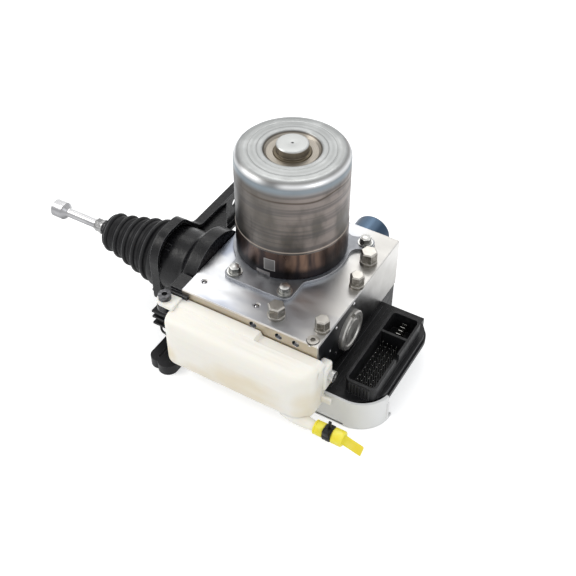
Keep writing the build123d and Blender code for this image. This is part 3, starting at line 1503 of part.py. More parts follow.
# Sensor lead: from the lowest fin down, across, and down into the connector
lead_radii = (3.0, 3.0)
lead_level = block_top - fin_drops[-1] - lead_drop
with BuildPart() as sensor_lead:
    with BuildLine() as lead_path:
        FilletPolyline(
            (lead_exit[0], lead_exit[1], lead_exit[2] + 4.0),
            (lead_exit[0], lead_exit[1], lead_level),
            (foot_top_hole[0], foot_top_hole[1], lead_level),
            (foot_top_hole[0], foot_top_hole[1], foot_height - 3.0),
            radius=lead_radii,
        )
    with BuildSketch(Plane(origin=(lead_exit[0], lead_exit[1], lead_exit[2] + 4.0), z_dir=(0, 0, -1))):
        Circle(lead_radius)
    sweep()
sensor_lead.part.label = "sensor_lead"
export_step(sensor_lead.part, "parts/sensor_lead.step")
print("lead bend radii", lead_radii, "length", round(lead_path.wires()[0].length, 1))
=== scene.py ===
from math import atan2, copysign, cos, pi, radians, sin, sqrt, tan

import bmesh
import bpy
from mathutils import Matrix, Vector


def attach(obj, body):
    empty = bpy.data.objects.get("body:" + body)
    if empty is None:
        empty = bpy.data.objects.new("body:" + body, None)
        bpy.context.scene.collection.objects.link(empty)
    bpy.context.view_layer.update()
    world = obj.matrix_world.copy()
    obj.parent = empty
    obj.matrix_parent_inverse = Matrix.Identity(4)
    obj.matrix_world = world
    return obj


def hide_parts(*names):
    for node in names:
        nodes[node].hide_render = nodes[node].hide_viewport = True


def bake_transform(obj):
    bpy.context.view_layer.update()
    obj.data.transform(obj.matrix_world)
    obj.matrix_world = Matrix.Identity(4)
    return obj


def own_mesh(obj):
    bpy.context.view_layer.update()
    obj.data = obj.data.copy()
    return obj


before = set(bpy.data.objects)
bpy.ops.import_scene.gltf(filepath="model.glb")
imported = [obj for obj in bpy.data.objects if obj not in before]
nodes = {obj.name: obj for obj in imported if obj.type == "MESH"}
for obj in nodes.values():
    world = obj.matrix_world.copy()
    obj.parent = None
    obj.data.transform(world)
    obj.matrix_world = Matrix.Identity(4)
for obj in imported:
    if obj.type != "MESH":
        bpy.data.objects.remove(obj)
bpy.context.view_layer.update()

# Camera: it stands in front of the module, to its right, and looks down on it at 44 degrees.
# Its lens is long, so the module's edges stay nearly parallel.
camera_lens = bpy.data.cameras.new("camera")
camera_lens.lens = 60.73
camera_lens.sensor_width = 36.0
camera = bpy.data.objects.new("camera", camera_lens)
camera.location = (0.2942, -0.5077, 0.6017)
camera.rotation_euler = (radians(90 - 44.362), 0, radians(30.42))
bpy.context.scene.collection.objects.link(camera)
bpy.context.scene.camera = camera
bpy.context.scene.view_settings.view_transform = "Standard"

# Studio: a white sweep lit by one wide soft box behind the module, one at the left in front of it
# and a weak one at the right. The sweep's white is its own colour and adds no light.
sky = bpy.data.worlds.new("sky")
bpy.context.scene.world = sky
sky.use_nodes = True
sky_nodes, sky_links = sky.node_tree.nodes, sky.node_tree.links


def seen_directly(tree):
    """1 for rays that show the backdrop itself: straight, mirrored or through glass."""
    path = tree.nodes.new("ShaderNodeLightPath")
    value = path.outputs["Is Camera Ray"]
    for ray in ("Is Glossy Ray", "Is Transmission Ray"):
        either = tree.nodes.new("ShaderNodeMath")
        either.operation = "MAXIMUM"
        tree.links.new(value, either.inputs[0])
        tree.links.new(path.outputs[ray], either.inputs[1])
        value = either.outputs[0]
    return value


shown_sky = sky_nodes.new("ShaderNodeBackground")
shown_sky.inputs["Color"].default_value = (1, 1, 1, 1)
lit_sky = sky_nodes["Background"]
lit_sky.inputs["Color"].default_value = (0.97, 0.985, 1, 1)
lit_sky.inputs["Strength"].default_value = 0.8
choose_sky = sky_nodes.new("ShaderNodeMixShader")
sky_links.new(seen_directly(sky.node_tree), choose_sky.inputs[0])
sky_links.new(lit_sky.outputs[0], choose_sky.inputs[1])
sky_links.new(shown_sky.outputs[0], choose_sky.inputs[2])
sky_links.new(choose_sky.outputs[0], sky_nodes["World Output"].inputs["Surface"])

sweep_paint = bpy.data.materials.new("sweep_paint")
sweep_paint.use_nodes = True
sweep_nodes, sweep_links = sweep_paint.node_tree.nodes, sweep_paint.node_tree.links
sweep_nodes.remove(sweep_nodes["Principled BSDF"])
matt = sweep_nodes.new("ShaderNodeBsdfDiffuse")
matt.inputs["Color"].default_value = (0.8, 0.8, 0.8, 1)
glow = sweep_nodes.new("ShaderNodeEmission")
glow_level = sweep_nodes.new("ShaderNodeMath")
glow_level.operation = "MULTIPLY"
glow_level.inputs[1].default_value = 0.5
matt_and_glow = sweep_nodes.new("ShaderNodeAddShader")
sweep_links.new(seen_directly(sweep_paint.node_tree), glow_level.inputs[0])
sweep_links.new(glow_level.outputs[0], glow.inputs["Strength"])
sweep_links.new(matt.outputs[0], matt_and_glow.inputs[0])
sweep_links.new(glow.outputs[0], matt_and_glow.inputs[1])
sweep_links.new(matt_and_glow.outputs[0], sweep_nodes["Material Output"].inputs["Surface"])
sweep_reach, sweep_level = 4, -2e-4
sweep_corners = [
    (sweep_reach * x, sweep_reach * y, sweep_level) for x, y in ((-1, -1), (1, -1), (1, 1), (-1, 1))
]
sweep_mesh = bpy.data.meshes.new("sweep")
sweep_mesh.from_pydata(sweep_corners, [], [(0, 1, 2, 3)])
sweep_mesh.materials.append(sweep_paint)
sweep = bpy.data.objects.new("sweep", sweep_mesh)
bpy.context.scene.collection.objects.link(sweep)

lamps_aim_at = Vector((0, -0.02, 0.07))
for lamp_name, place, size, watts, shade in (
    ("rear_softbox", (-0.5, 0.9, 1.6), (1.0, 0.8), 6.0, (1.0, 0.99, 0.97)),
    ("left_softbox", (-0.95, -0.55, 1.05), (0.7, 0.7), 6.0, (1.0, 0.985, 0.96)),
    ("right_softbox", (1.25, -0.35, 0.75), (0.6, 0.6), 2.5, (0.95, 0.975, 1.0)),
):
    lamp_data = bpy.data.lights.new(lamp_name, "AREA")
    lamp_data.shape = "RECTANGLE"
    lamp_data.size, lamp_data.size_y = size
    lamp_data.energy = watts
    lamp_data.color = shade
    lamp = bpy.data.objects.new(lamp_name, lamp_data)
    lamp.location = place
    lamp.rotation_euler = (lamps_aim_at - lamp.location).to_track_quat("-Z", "Y").to_euler()
    bpy.context.scene.collection.objects.link(lamp)


# Hydraulic block: an aluminium forging, milled on every face, with a painted highlight along its
# chamfer and edges. Its top carries painted blue-grey reflection clouds at the left and painted
# shade at the back right, its front is a little warmer, and its right face has painted shade low at
# the front and a painted highlight over its upper rear.
def finish(name, colour, rough, metal=0.0, shine=0.5):
    """A plain finish, to which a piece's own patterns are added."""
    material = bpy.data.materials.new(name)
    material.use_nodes = True
    shader = material.node_tree.nodes["Principled BSDF"]
    shader.inputs["Base Color"].default_value = (*colour, 1)
    shader.inputs["Roughness"].default_value = rough
    shader.inputs["Metallic"].default_value = metal
    shader.inputs["Specular IOR Level"].default_value = shine
    return material


def part_place(material):
    """A point's place on the piece."""
    return material.node_tree.nodes.new("ShaderNodeTexCoord").outputs["Object"]


def cloud(material, size, stretch=(1, 1, 1), detail=4.0, shift=0.0):
    """Soft spots of about this size in metres, drawn out by stretch."""
    tree = material.node_tree
    place = tree.nodes.new("ShaderNodeMapping")
    place.inputs["Location"].default_value = (shift, shift, shift)
    place.inputs["Scale"].default_value = [1 / (size * part) for part in stretch]
    tree.links.new(part_place(material), place.inputs["Vector"])
    noise = tree.nodes.new("ShaderNodeTexNoise")
    noise.inputs["Scale"].default_value = 1.0
    noise.inputs["Detail"].default_value = detail
    tree.links.new(place.outputs["Vector"], noise.inputs["Vector"])
    return noise.outputs["Fac"]


def ease(value, start, end, low=0.0, high=1.0):
    """Follows value softly from low at start to high at end."""
    tree = value.id_data
    ramp = tree.nodes.new("ShaderNodeMapRange")
    ramp.interpolation_type = "SMOOTHSTEP"
    for name, number in (("From Min", start), ("From Max", end), ("To Min", low), ("To Max", high)):
        ramp.inputs[name].default_value = number
    tree.links.new(value, ramp.inputs["Value"])
    return ramp.outputs["Result"]


def both_of(first, second, operation="MULTIPLY"):
    """A pattern taken together with another one, or with a number."""
    tree = first.id_data
    step = tree.nodes.new("ShaderNodeMath")
    step.operation = operation
    tree.links.new(first, step.inputs[0])
    if isinstance(second, (int, float)):
        step.inputs[1].default_value = second
    else:
        tree.links.new(second, step.inputs[1])
    return step.outputs[0]


def tint(material, pattern, colour, strength=1.0):
    """Lays a colour over the finish where the pattern is 1."""
    tree = material.node_tree
    if strength < 1:
        pattern = both_of(pattern, strength)
    base = tree.nodes["Principled BSDF"].inputs["Base Color"]
    blend = tree.nodes.new("ShaderNodeMix")
    blend.data_type = "RGBA"
    if base.is_linked:
        tree.links.new(base.links[0].from_socket, blend.inputs[6])
    else:
        blend.inputs[6].default_value = base.default_value
    blend.inputs[7].default_value = (*colour, 1)
    tree.links.new(pattern, blend.inputs[0])
    tree.links.new(blend.outputs[2], base)


def gloss(material, pattern, low, high):
    """Roughness from low to high as the pattern grows."""
    rough = ease(pattern, 0.25, 0.75, low, high)
    material.node_tree.links.new(rough, material.node_tree.nodes["Principled BSDF"].inputs["Roughness"])


def relief(material, pattern, depth):
    """Raises the surface by depth in metres where the pattern is 1."""
    tree = material.node_tree
    normal = tree.nodes["Principled BSDF"].inputs["Normal"]
    bump = tree.nodes.new("ShaderNodeBump")
    bump.inputs["Distance"].default_value = depth
    bump.inputs["Strength"].default_value = 1.0
    if normal.is_linked:
        tree.links.new(normal.links[0].from_socket, bump.inputs["Normal"])
    tree.links.new(pattern, bump.inputs["Height"])
    tree.links.new(bump.outputs["Normal"], normal)


def soften(material, radius):
    """Rounds the edges to the eye, and returns a pattern that is 1 along them."""
    tree = material.node_tree
    rounding = tree.nodes.new("ShaderNodeBevel")
    rounding.samples = 4
    rounding.inputs["Radius"].default_value = radius
    tree.links.new(rounding.outputs["Normal"], tree.nodes["Principled BSDF"].inputs["Normal"])
    across = tree.nodes.new("ShaderNodeVectorMath")
    across.operation = "DOT_PRODUCT"
    tree.links.new(rounding.outputs["Normal"], across.inputs[0])
    tree.links.new(tree.nodes.new("ShaderNodeNewGeometry").outputs["Normal"], across.inputs[1])
    return ease(across.outputs["Value"], 0.995, 0.85)


def share_of(source, axis):
    """One of a vector's three numbers."""
    tree = source.id_data
    parts = tree.nodes.new("ShaderNodeSeparateXYZ")
    tree.links.new(source, parts.inputs[0])
    return parts.outputs[axis]


def facing(material, axis):
    """How far a face looks along an axis, from -1 to 1."""
    return share_of(material.node_tree.nodes.new("ShaderNodeNewGeometry").outputs["True Normal"], axis)


def along(material, axis):
    """The place on the piece along an axis, in metres."""
    return share_of(part_place(material), axis)


def dress(material, *names):
    """Gives carried-over nodes their finish."""
    for name in names:
        for part in nodes[name].material_slots:
            part.material = material


milled = finish("milled_aluminium", (0.62, 0.63, 0.65), 0.36, 1.0)
milled_edge_highlight = soften(milled, 0.0004)
across_block, block_depth = along(milled, "X"), along(milled, "Y")
tint(milled, ease(across_block, 0.03, 0.07), (0.68, 0.67, 0.65))
# Painted reflection: blue-grey clouds over the left of the top.
blue_reflection_clouds = ease(cloud(milled, 0.04, (1.6, 0.7, 1), 3.0), 0.42, 0.62)
tint(milled, both_of(blue_reflection_clouds, ease(across_block, 0.03, -0.03, 0.25, 0.95)), (0.3, 0.33, 0.4))
tint(milled, ease(cloud(milled, 0.03, (0.8, 1.8, 1), 2.0, 4.0), 0.55, 0.7), (0.68, 0.69, 0.71), 0.7)
# Painted shade: the back right of the top is darker.
tint(milled, both_of(ease(across_block, 0.035, 0.06), ease(block_depth, -0.05, 0.0)), (0.52, 0.51, 0.49))
tint(milled, ease(facing(milled, "Y"), -0.5, -0.9), (0.58, 0.51, 0.4), 0.85)
# Painted shade low at the front of the right face, and a painted highlight over its upper rear.
right_face = ease(facing(milled, "X"), 0.5, 0.9)
low_front = both_of(both_of(block_depth, -0.8), both_of(along(milled, "Z"), 0.9), "SUBTRACT")
tint(milled, both_of(right_face, ease(low_front, -0.075, -0.02)), (0.06, 0.062, 0.07))
tint(milled, both_of(right_face, ease(low_front, -0.07, -0.1)), (0.72, 0.71, 0.69))
# Painted highlight along the rounded edges and the chamfer.
tint(milled, milled_edge_highlight, (0.93, 0.93, 0.93), 0.8)
gloss(milled, cloud(milled, 0.012, (3, 1, 1), 5.0, 2.0), 0.3, 0.46)
relief(milled, cloud(milled, 0.0009, (14, 1, 1), 2.0), 0.00002)
dress(milled, "hydraulic_block")


# Staked pins: five small steel balls pressed into cross-drillings in the block's right face. A ring
# of the block's own metal is rolled over each to hold it.
def clouded(name, colour, rough, metal, size, darker, lighter, shine=0.5):
    """A finish whose colour drifts between two shades, with uneven gloss."""
    material = finish(name, colour, rough, metal, shine)
    tint(material, ease(cloud(material, size), 0.35, 0.62), darker)
    tint(material, ease(cloud(material, size * 0.6, shift=3.0), 0.5, 0.75), lighter)
    gloss(material, cloud(material, size / 3, shift=7.0), rough * 0.8, min(1.0, rough * 1.25))
    return material


def new_tree(name, *sizes):
    """A geometry tree with a named input for each size, in metres, and the sockets of its inputs."""
    tree = bpy.data.node_groups.new(name, "GeometryNodeTree")
    for way in ("INPUT", "OUTPUT"):
        tree.interface.new_socket("Geometry", in_out=way, socket_type="NodeSocketGeometry")
    for size in sizes:
        tree.interface.new_socket(size, in_out="INPUT", socket_type="NodeSocketFloat")
    return tree, tree.nodes.new("NodeGroupInput").outputs


def place_each(tree, given, shapes, material, turned):
    """Puts the joined shapes on every point, then makes them one real mesh with its finish."""
    link = tree.links.new
    joined = tree.nodes.new("GeometryNodeJoinGeometry")
    for shape in shapes:
        link(shape, joined.inputs[0])
    spread = tree.nodes.new("GeometryNodeInstanceOnPoints")
    link(given["Geometry"], spread.inputs["Points"])
    link(joined.outputs[0], spread.inputs["Instance"])
    spread.inputs["Rotation"].default_value = turned
    real = tree.nodes.new("GeometryNodeRealizeInstances")
    link(spread.outputs[0], real.inputs[0])
    painted = tree.nodes.new("GeometryNodeSetMaterial")
    painted.inputs["Material"].default_value = material
    link(real.outputs[0], painted.inputs["Geometry"])
    link(painted.outputs[0], tree.nodes.new("NodeGroupOutput").inputs[0])


def grow(name, places, tree, material, **sizes):
    """Runs a geometry tree on points given in millimetres, and keeps the result as a plain mesh."""
    points = bpy.data.meshes.new(name)
    points.from_pydata([[c / 1000 for c in place] for place in places], [], [])
    points.materials.append(material)
    seed = bpy.data.objects.new(name, points)
    bpy.context.scene.collection.objects.link(seed)
    maker = seed.modifiers.new("maker", "NODES")
    maker.node_group = tree
    for item in tree.interface.items_tree:
        if item.in_out == "INPUT" and item.name in sizes:
            maker[item.identifier] = sizes[item.name] / 1000
    bpy.context.view_layer.update()
    shape = bpy.data.meshes.new_from_object(seed.evaluated_get(bpy.context.evaluated_depsgraph_get()))
    seed.modifiers.remove(maker)
    seed.data = shape
    shape.name = name
    shape.set_sharp_from_angle(angle=radians(34))
    return seed


def cone(foot, top, height, steps=24):
    """A capped, tapered round whose sizes are sockets of a geometry tree."""
    tree = foot.id_data
    shape = tree.nodes.new("GeometryNodeMeshCone")
    shape.fill_type = "NGON"
    shape.inputs["Vertices"].default_value = steps
    tree.links.new(foot, shape.inputs["Radius Bottom"])
    tree.links.new(top, shape.inputs["Radius Top"])
    tree.links.new(height, shape.inputs["Depth"])
    return shape.outputs["Mesh"]


staked = clouded("staked_steel", (0.75, 0.75, 0.74), 0.25, 1.0, 0.002, (0.4, 0.4, 0.42), (0.95, 0.95, 0.95))
stake_places = ((73, -30.9, 72.9), (73, -15.9, 41.3), (73, -59.1, 72.0), (73, -68.0, 54.6), (73, -58.3, 43.5))
stake_tree, stake = new_tree("staked_pin", "Ring", "Ball", "Rise")
stake_ball = stake_tree.nodes.new("GeometryNodeMeshUVSphere")
stake_ball.inputs["Segments"].default_value = 16
stake_ball.inputs["Rings"].default_value = 8
stake_tree.links.new(stake["Ball"], stake_ball.inputs["Radius"])
pressed_ball = stake_tree.nodes.new("GeometryNodeTransform")
stake_tree.links.new(stake_ball.outputs["Mesh"], pressed_ball.inputs["Geometry"])
pressed_ball.inputs["Translation"].default_value = (0, 0, 0.0001)
pressed_ball.inputs["Scale"].default_value = (1, 1, 0.5)
stake_shapes = [cone(stake["Ring"], stake["Ball"], stake["Rise"]), pressed_ball.outputs[0]]
place_each(stake_tree, stake, stake_shapes, staked, (0, radians(90), 0))
staked_pins = grow("staked_pins", stake_places, stake_tree, staked, Ring=1.6, Ball=0.9, Rise=0.35)
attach(staked_pins, "root")

# Valves, coils and plugs. The valves are steel cartridges and the coils taped windings, both closed
# in under the block. The hex plugs are nickel-plated steel, and the balls are pressed in and staked.
nickel = clouded("nickel_plate", (0.24, 0.225, 0.2), 0.34, 1.0, 0.004, (0.15, 0.14, 0.12), (0.36, 0.34, 0.31))
# Painted highlights: the plugs' tops are lighter than their sides, and their edges lighter still.
tint(nickel, ease(facing(nickel, "Z"), 0.4, 0.95), (0.6, 0.58, 0.54), 0.9)
tint(nickel, soften(nickel, 0.0004), (0.85, 0.84, 0.8), 0.7)
dress(nickel, "large_port_plugs", "small_port_plugs", "socket_plugs")
ball_steel = clouded("ball_steel", (0.5, 0.5, 0.51), 0.16, 1.0, 0.002, (0.2, 0.2, 0.21), (0.85, 0.85, 0.86))
dress(ball_steel, "ball_plugs")
valve_steel = clouded("valve_steel", (0.5, 0.5, 0.5), 0.35, 1.0, 0.004, (0.35, 0.35, 0.35), (0.7, 0.7, 0.7))
dress(valve_steel, "solenoid_valves")
coil_wrap = clouded("coil_wrap", (0.06, 0.05, 0.04), 0.55, 0.0, 0.006, (0.03, 0.03, 0.03), (0.12, 0.07, 0.04))
relief(coil_wrap, cloud(coil_wrap, 0.0006, (30, 30, 1), 1.0), 0.0002)
dress(coil_wrap, "solenoid_coils")

# Pistons, springs and seals: turned and hard-anodised pistons with rubber cups in the bore's
# grooves, all inside the block. Each coil spring of steel wire stands on a fixed seat.
piston_skin = clouded("piston_skin", (0.4, 0.41, 0.4), 0.35, 0.9, 0.01, (0.3, 0.31, 0.3), (0.55, 0.55, 0.52))
relief(piston_skin, cloud(piston_skin, 0.0005, (1, 40, 40), 1.0), 0.00004)
dress(piston_skin, "primary_piston", "secondary_piston", "drive_piston", "simulator_piston")
rubber = clouded("seal_rubber", (0.02, 0.02, 0.022), 0.6, 0.0, 0.003, (0.01, 0.01, 0.01), (0.05, 0.05, 0.05))
dress(rubber, "piston_seals", "pump_seals", "feed_grommets", "housing_gasket")
spring_wire = clouded("spring_wire", (0.28, 0.28, 0.3), 0.35, 1.0, 0.003, (0.15, 0.15, 0.17), (0.5, 0.5, 0.5))
for spring_name, driver, push, seat, travel in (
    ("primary_spring", "pedal_slide", (1, 0, 0), (0.014, -0.038, 0.0514), 0.034),
    ("secondary_spring", "second_slide", (1, 0, 0), (0.066, -0.038, 0.0514), 0.017),
    ("simulator_spring", "simulator_slide", (0, 1, 0), (0.0, 0.072, 0.05), 0.012),
):
    coil = bpy.data.objects.new(spring_name + "_wire", nodes[spring_name].data.copy())
    coil.data.transform(nodes[spring_name].matrix_world)
    coil.data.materials.clear()
    coil.data.materials.append(spring_wire)
    bpy.context.scene.collection.objects.link(coil)
    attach(coil, "root")
    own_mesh(coil)
    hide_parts(spring_name)

# Cylinder end plug: turned aluminium, screwed into the pedal bore from the right face, with a cut
# step, fine turning rings and a notch for the pin wrench at its top.
pedal_axis = (-38.0, 51.4)  # Y and Z


def from_axis(material, across, centre=(0, 0, 0)):
    """Distance in metres from an axis through centre; across is 1 in the directions across it."""
    tree = material.node_tree
    flat, reach = tree.nodes.new("ShaderNodeVectorMath"), tree.nodes.new("ShaderNodeVectorMath")
    flat.operation, reach.operation = "MULTIPLY", "DISTANCE"
    flat.inputs[1].default_value, reach.inputs[1].default_value = across, centre
    tree.links.new(part_place(material), flat.inputs[0])
    tree.links.new(flat.outputs["Vector"], reach.inputs[0])
    return reach.outputs["Value"]


def ripples(value, rate):
    """Waves between -1 and 1 as a distance grows."""
    return both_of(both_of(value, rate), 0.0, "SINE")


turned_metal = finish("turned_aluminium", (0.42, 0.41, 0.39), 0.42, 0.7)
turned_edge_highlight = soften(turned_metal, 0.0004)
plug_reach = from_axis(turned_metal, (0, 1, 1), (0, pedal_axis[0] / 1000, pedal_axis[1] / 1000))
plug_rings = ripples(plug_reach, 5200.0)
tint(turned_metal, ease(plug_rings, -1.0, 1.0), (0.3, 0.29, 0.27), 0.6)
tint(turned_metal, ease(cloud(turned_metal, 0.012, shift=2.0), 0.5, 0.66), (0.62, 0.61, 0.58), 0.7)
tint(turned_metal, ease(cloud(turned_metal, 0.01, shift=5.0), 0.5, 0.64), (0.16, 0.155, 0.15), 0.7)
# Painted highlight along the plug's edges.
tint(turned_metal, turned_edge_highlight, (0.85, 0.84, 0.8), 0.8)
relief(turned_metal, plug_rings, 0.00001)
dress(turned_metal, "cylinder_end_plug")

# Motor flange: a pressed steel plate with four ears, grey passivated, with a painted highlight along
# its edge. It is clamped between the motor's end shield and the block by four bolts.
flange_skin = finish("passivated_steel", (0.27, 0.28, 0.3), 0.45, 1.0)
flange_edge_highlight = soften(flange_skin, 0.0006)
tint(flange_skin, ease(cloud(flange_skin, 0.02), 0.4, 0.65), (0.36, 0.37, 0.39))
# Painted highlight along the plate's edge.
tint(flange_skin, flange_edge_highlight, (0.7, 0.71, 0.74), 0.8)
gloss(flange_skin, cloud(flange_skin, 0.006), 0.38, 0.52)
dress(flange_skin, "motor_flange")


# Motor bolts: four zinc-plated hex bolts on wide washers, through the flange's ears. The heads are
# forged with a washer face and a chamfered, slightly domed top.
def stacked(shape, *levels):
    """A shape lifted by the sum of some sizes."""
    tree = shape.id_data
    level = levels[0]
    for step in levels[1:]:
        level = both_of(level, step, "ADD")
    up = tree.nodes.new("ShaderNodeCombineXYZ")
    tree.links.new(level, up.inputs["Z"])
    lifted = tree.nodes.new("GeometryNodeTransform")
    tree.links.new(shape, lifted.inputs["Geometry"])
    tree.links.new(up.outputs[0], lifted.inputs["Translation"])
    return lifted.outputs[0]


zinc = clouded("bolt_zinc", (0.26, 0.26, 0.25), 0.34, 1.0, 0.003, (0.17, 0.17, 0.16), (0.42, 0.42, 0.41))
relief(zinc, cloud(zinc, 0.0012, detail=2.0), 0.00001)
# Painted highlight: the bolt heads' tops are lighter than their sides.
tint(zinc, ease(facing(zinc, "Z"), 0.4, 0.95), (0.68, 0.68, 0.66), 0.9)
flange_top = 80.0
bolt_places = [(x, y, flange_top) for x, y in ((-21.0, -53.0), (24.0, -52.5), (51.5, 29.0), (-39.5, 39.5))]
bolt_tree, bolt = new_tree("hex_bolt", "Washer", "Thickness", "Face", "Head", "Corner", "Dome", "Crown")
bolt_shapes = [
    cone(bolt["Washer"], bolt["Washer"], bolt["Thickness"], 40),
    stacked(cone(bolt["Face"], bolt["Corner"], bolt["Thickness"], 40), bolt["Thickness"]),
    stacked(cone(bolt["Corner"], bolt["Corner"], bolt["Head"], 6), bolt["Thickness"]),
    stacked(cone(bolt["Dome"], bolt["Crown"], bolt["Thickness"]), bolt["Thickness"], bolt["Head"]),
]
place_each(bolt_tree, bolt, bolt_shapes, zinc, (0, 0, radians(38)))
motor_bolts = grow(
    "motor_hex_bolts", bolt_places, bolt_tree, zinc,
    Washer=6.2, Thickness=0.8, Face=5.0, Head=5.0, Corner=4.6, Dome=3.9, Crown=2.4,
)
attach(motor_bolts, "root")
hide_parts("motor_bolts")


# Motor base ring: the turned end shield under the can, copper-brown from its heat treatment, darkening
# to black towards its foot, with a bright notch in the black and a bare etched square at the front.
# Its colour also carries a painted warm glow under the seam, painted bright reflections streaking its
# right side and a painted highlight along its lowest edge.
def between(value, low, high, blur):
    """1 where a value lies between two others, with soft ends."""
    return both_of(ease(value, low - blur, low + blur), ease(value, high + blur, high - blur))


def square_on(material, low, high):
    """1 inside a range of X and Z on the front side, 0 outside."""
    inside = ease(along(material, "Y"), 0.0, -0.01)
    inside = both_of(inside, between(along(material, "X"), low[0], high[0], 1e-4))
    return both_of(inside, between(along(material, "Z"), low[1], high[1], 1e-4))


copper = finish("heat_tinted_steel", (0.085, 0.06, 0.054), 0.34, 1.0)
soften(copper, 0.0004)
round_ring, up_ring = along(copper, "X"), along(copper, "Z")
tint(copper, ease(cloud(copper, 0.007, (1, 1, 9), 3.0), 0.46, 0.6), (0.045, 0.036, 0.036))
# Painted warm glow in the band just under the seam.
painted_warm_glow = both_of(ease(cloud(copper, 0.009, (1, 1, 7), 2.0, 4.0), 0.5, 0.66), ease(up_ring, 0.094, 0.105))
tint(copper, painted_warm_glow, (0.12, 0.078, 0.062), 0.7)
# Painted reflections: bright orange streaks over the right side of the ring.
copper_right = both_of(ease(round_ring, 0.012, 0.026), ease(round_ring, 0.042, 0.032))
painted_reflection_streaks = ease(cloud(copper, 0.008, (1, 1, 5), 2.0, 9.0), 0.36, 0.64)
tint(copper, both_of(copper_right, painted_reflection_streaks), (0.3, 0.19, 0.135), 0.8)
# Darkens to black towards the foot.
tint(copper, ease(up_ring, 0.093, 0.086), (0.015, 0.015, 0.018), 0.9)
# Painted highlight along the ring's lowest edge.
tint(copper, ease(up_ring, 0.0809, 0.0806), (0.5, 0.52, 0.56), 0.6)
tint(copper, square_on(copper, (-0.006, 0.0802), (0.006, 0.0851)), (0.35, 0.33, 0.32), 0.8)
tint(copper, square_on(copper, (0.001, 0.0876), (0.0102, 0.0989)), (0.68, 0.66, 0.63), 0.9)
tint(copper, square_on(copper, (0.0014, 0.088), (0.0098, 0.0985)), (0.21, 0.2, 0.195), 0.95)
gloss(copper, cloud(copper, 0.01, (1, 1, 4)), 0.26, 0.42)
relief(copper, cloud(copper, 0.0004, (60, 60, 1), 1.0), 0.00002)
dress(copper, "motor_base_ring")


# Motor can: deep-drawn zinc-plated steel. Drawing has left soft rings round the recess in its top,
# a crease below the shoulder and a rolled bead at its foot. The hub is turned. Its colour carries
# painted light: a lighter top, painted highlights at the right and on the shoulder, painted dark
# reflections at the far left and below the shoulder, and painted shade in the crease and at the
# recess edge.
def rounded(corners, steps):
    """Profile points from (along, out, fillet) corners, in millimetres."""
    points = []
    for index, (x, y, radius) in enumerate(corners):
        if not radius:
            points.append((x, y))
            continue
        corner = Vector((x, y))
        before = (Vector(corners[index - 1][:2]) - corner).normalized()
        after = (Vector(corners[(index + 1) % len(corners)][:2]) - corner).normalized()
        half = before.angle(after) / 2
        if half > pi / 2 - 1e-3:
            points += [(x, y)] * (steps + 1)
            continue
        centre = corner + (before + after).normalized() * radius / sin(half)
        start = corner + before * radius / tan(half) - centre
        end = corner + after * radius / tan(half) - centre
        first = atan2(start.y, start.x)
        bend = (atan2(end.y, end.x) - first + pi) % (2 * pi) - pi
        for step in range(steps + 1):
            angle = first + bend * step / steps
            points.append((centre.x + radius * cos(angle), centre.y + radius * sin(angle)))
    return points


def turn(mesh, profile, centre, axis, steps, closed=False):
    """Spins (along, radius) points round an axis into a closed skin, in millimetres."""
    rings = []
    for level, radius in profile:
        ring = []
        for step in range(steps if radius > 1e-6 else 1):
            angle = 2 * pi * step / steps
            point = [centre[0] + radius * cos(angle), centre[1] + radius * sin(angle)]
            point.insert("XYZ".index(axis), level)
            ring.append(mesh.verts.new([c / 1000 for c in point]))
        rings.append(ring)
    pairs = list(zip(rings, rings[1:])) + ([(rings[-1], rings[0])] if closed else [])
    for low, high in pairs:
        for step in range(steps):
            following = (step + 1) % steps
            if len(low) == 1 and len(high) == 1:
                break
            if len(low) == 1:
                mesh.faces.new((low[0], high[step], high[following]))
            elif len(high) == 1:
                mesh.faces.new((low[step], low[following], high[0]))
            else:
                mesh.faces.new((low[step], low[following], high[following], high[step]))


def show(name, mesh, material, crease=30):
    """Closes a finished skin and stands it in the scene."""
    bmesh.ops.remove_doubles(mesh, verts=mesh.verts, dist=1e-6)
    bmesh.ops.dissolve_degenerate(mesh, edges=mesh.edges, dist=1e-7)
    bmesh.ops.recalc_face_normals(mesh, faces=mesh.faces)
    data = bpy.data.meshes.new(name)
    mesh.to_mesh(data)
    mesh.free()
    data.materials.append(material)
    data.shade_smooth()
    data.set_sharp_from_angle(angle=radians(crease))
    piece = bpy.data.objects.new(name, data)
    bpy.context.scene.collection.objects.link(piece)
    return piece


drawn = finish("drawn_steel", (0.14, 0.128, 0.117), 0.35, 1.0)
round_can, up_can, from_hub = along(drawn, "X"), along(drawn, "Z"), from_axis(drawn, (1, 1, 0))
# The wall: a painted highlight makes it brighter at the right and a painted dark reflection makes it
# blue-black at the far left, with drawn rings and a few streaks.
tint(drawn, ease(round_can, 0.0, 0.034), (0.23, 0.2, 0.185))
tint(drawn, ease(cloud(drawn, 0.02, (1, 1, 2.2), 3.0), 0.42, 0.62), (0.11, 0.1, 0.09))
tint(drawn, ease(cloud(drawn, 0.004, (60, 60, 1), 3.0, 2.0), 0.45, 0.62), (0.09, 0.085, 0.085), 0.6)
streaks = ease(cloud(drawn, 0.006, (1, 1, 7), 3.0, 11.0), 0.55, 0.63)
tint(drawn, both_of(streaks, ease(round_can, 0.01, -0.02)), (0.06, 0.055, 0.05), 0.45)
tint(drawn, ease(round_can, -0.018, -0.041), (0.03, 0.037, 0.047), 0.92)
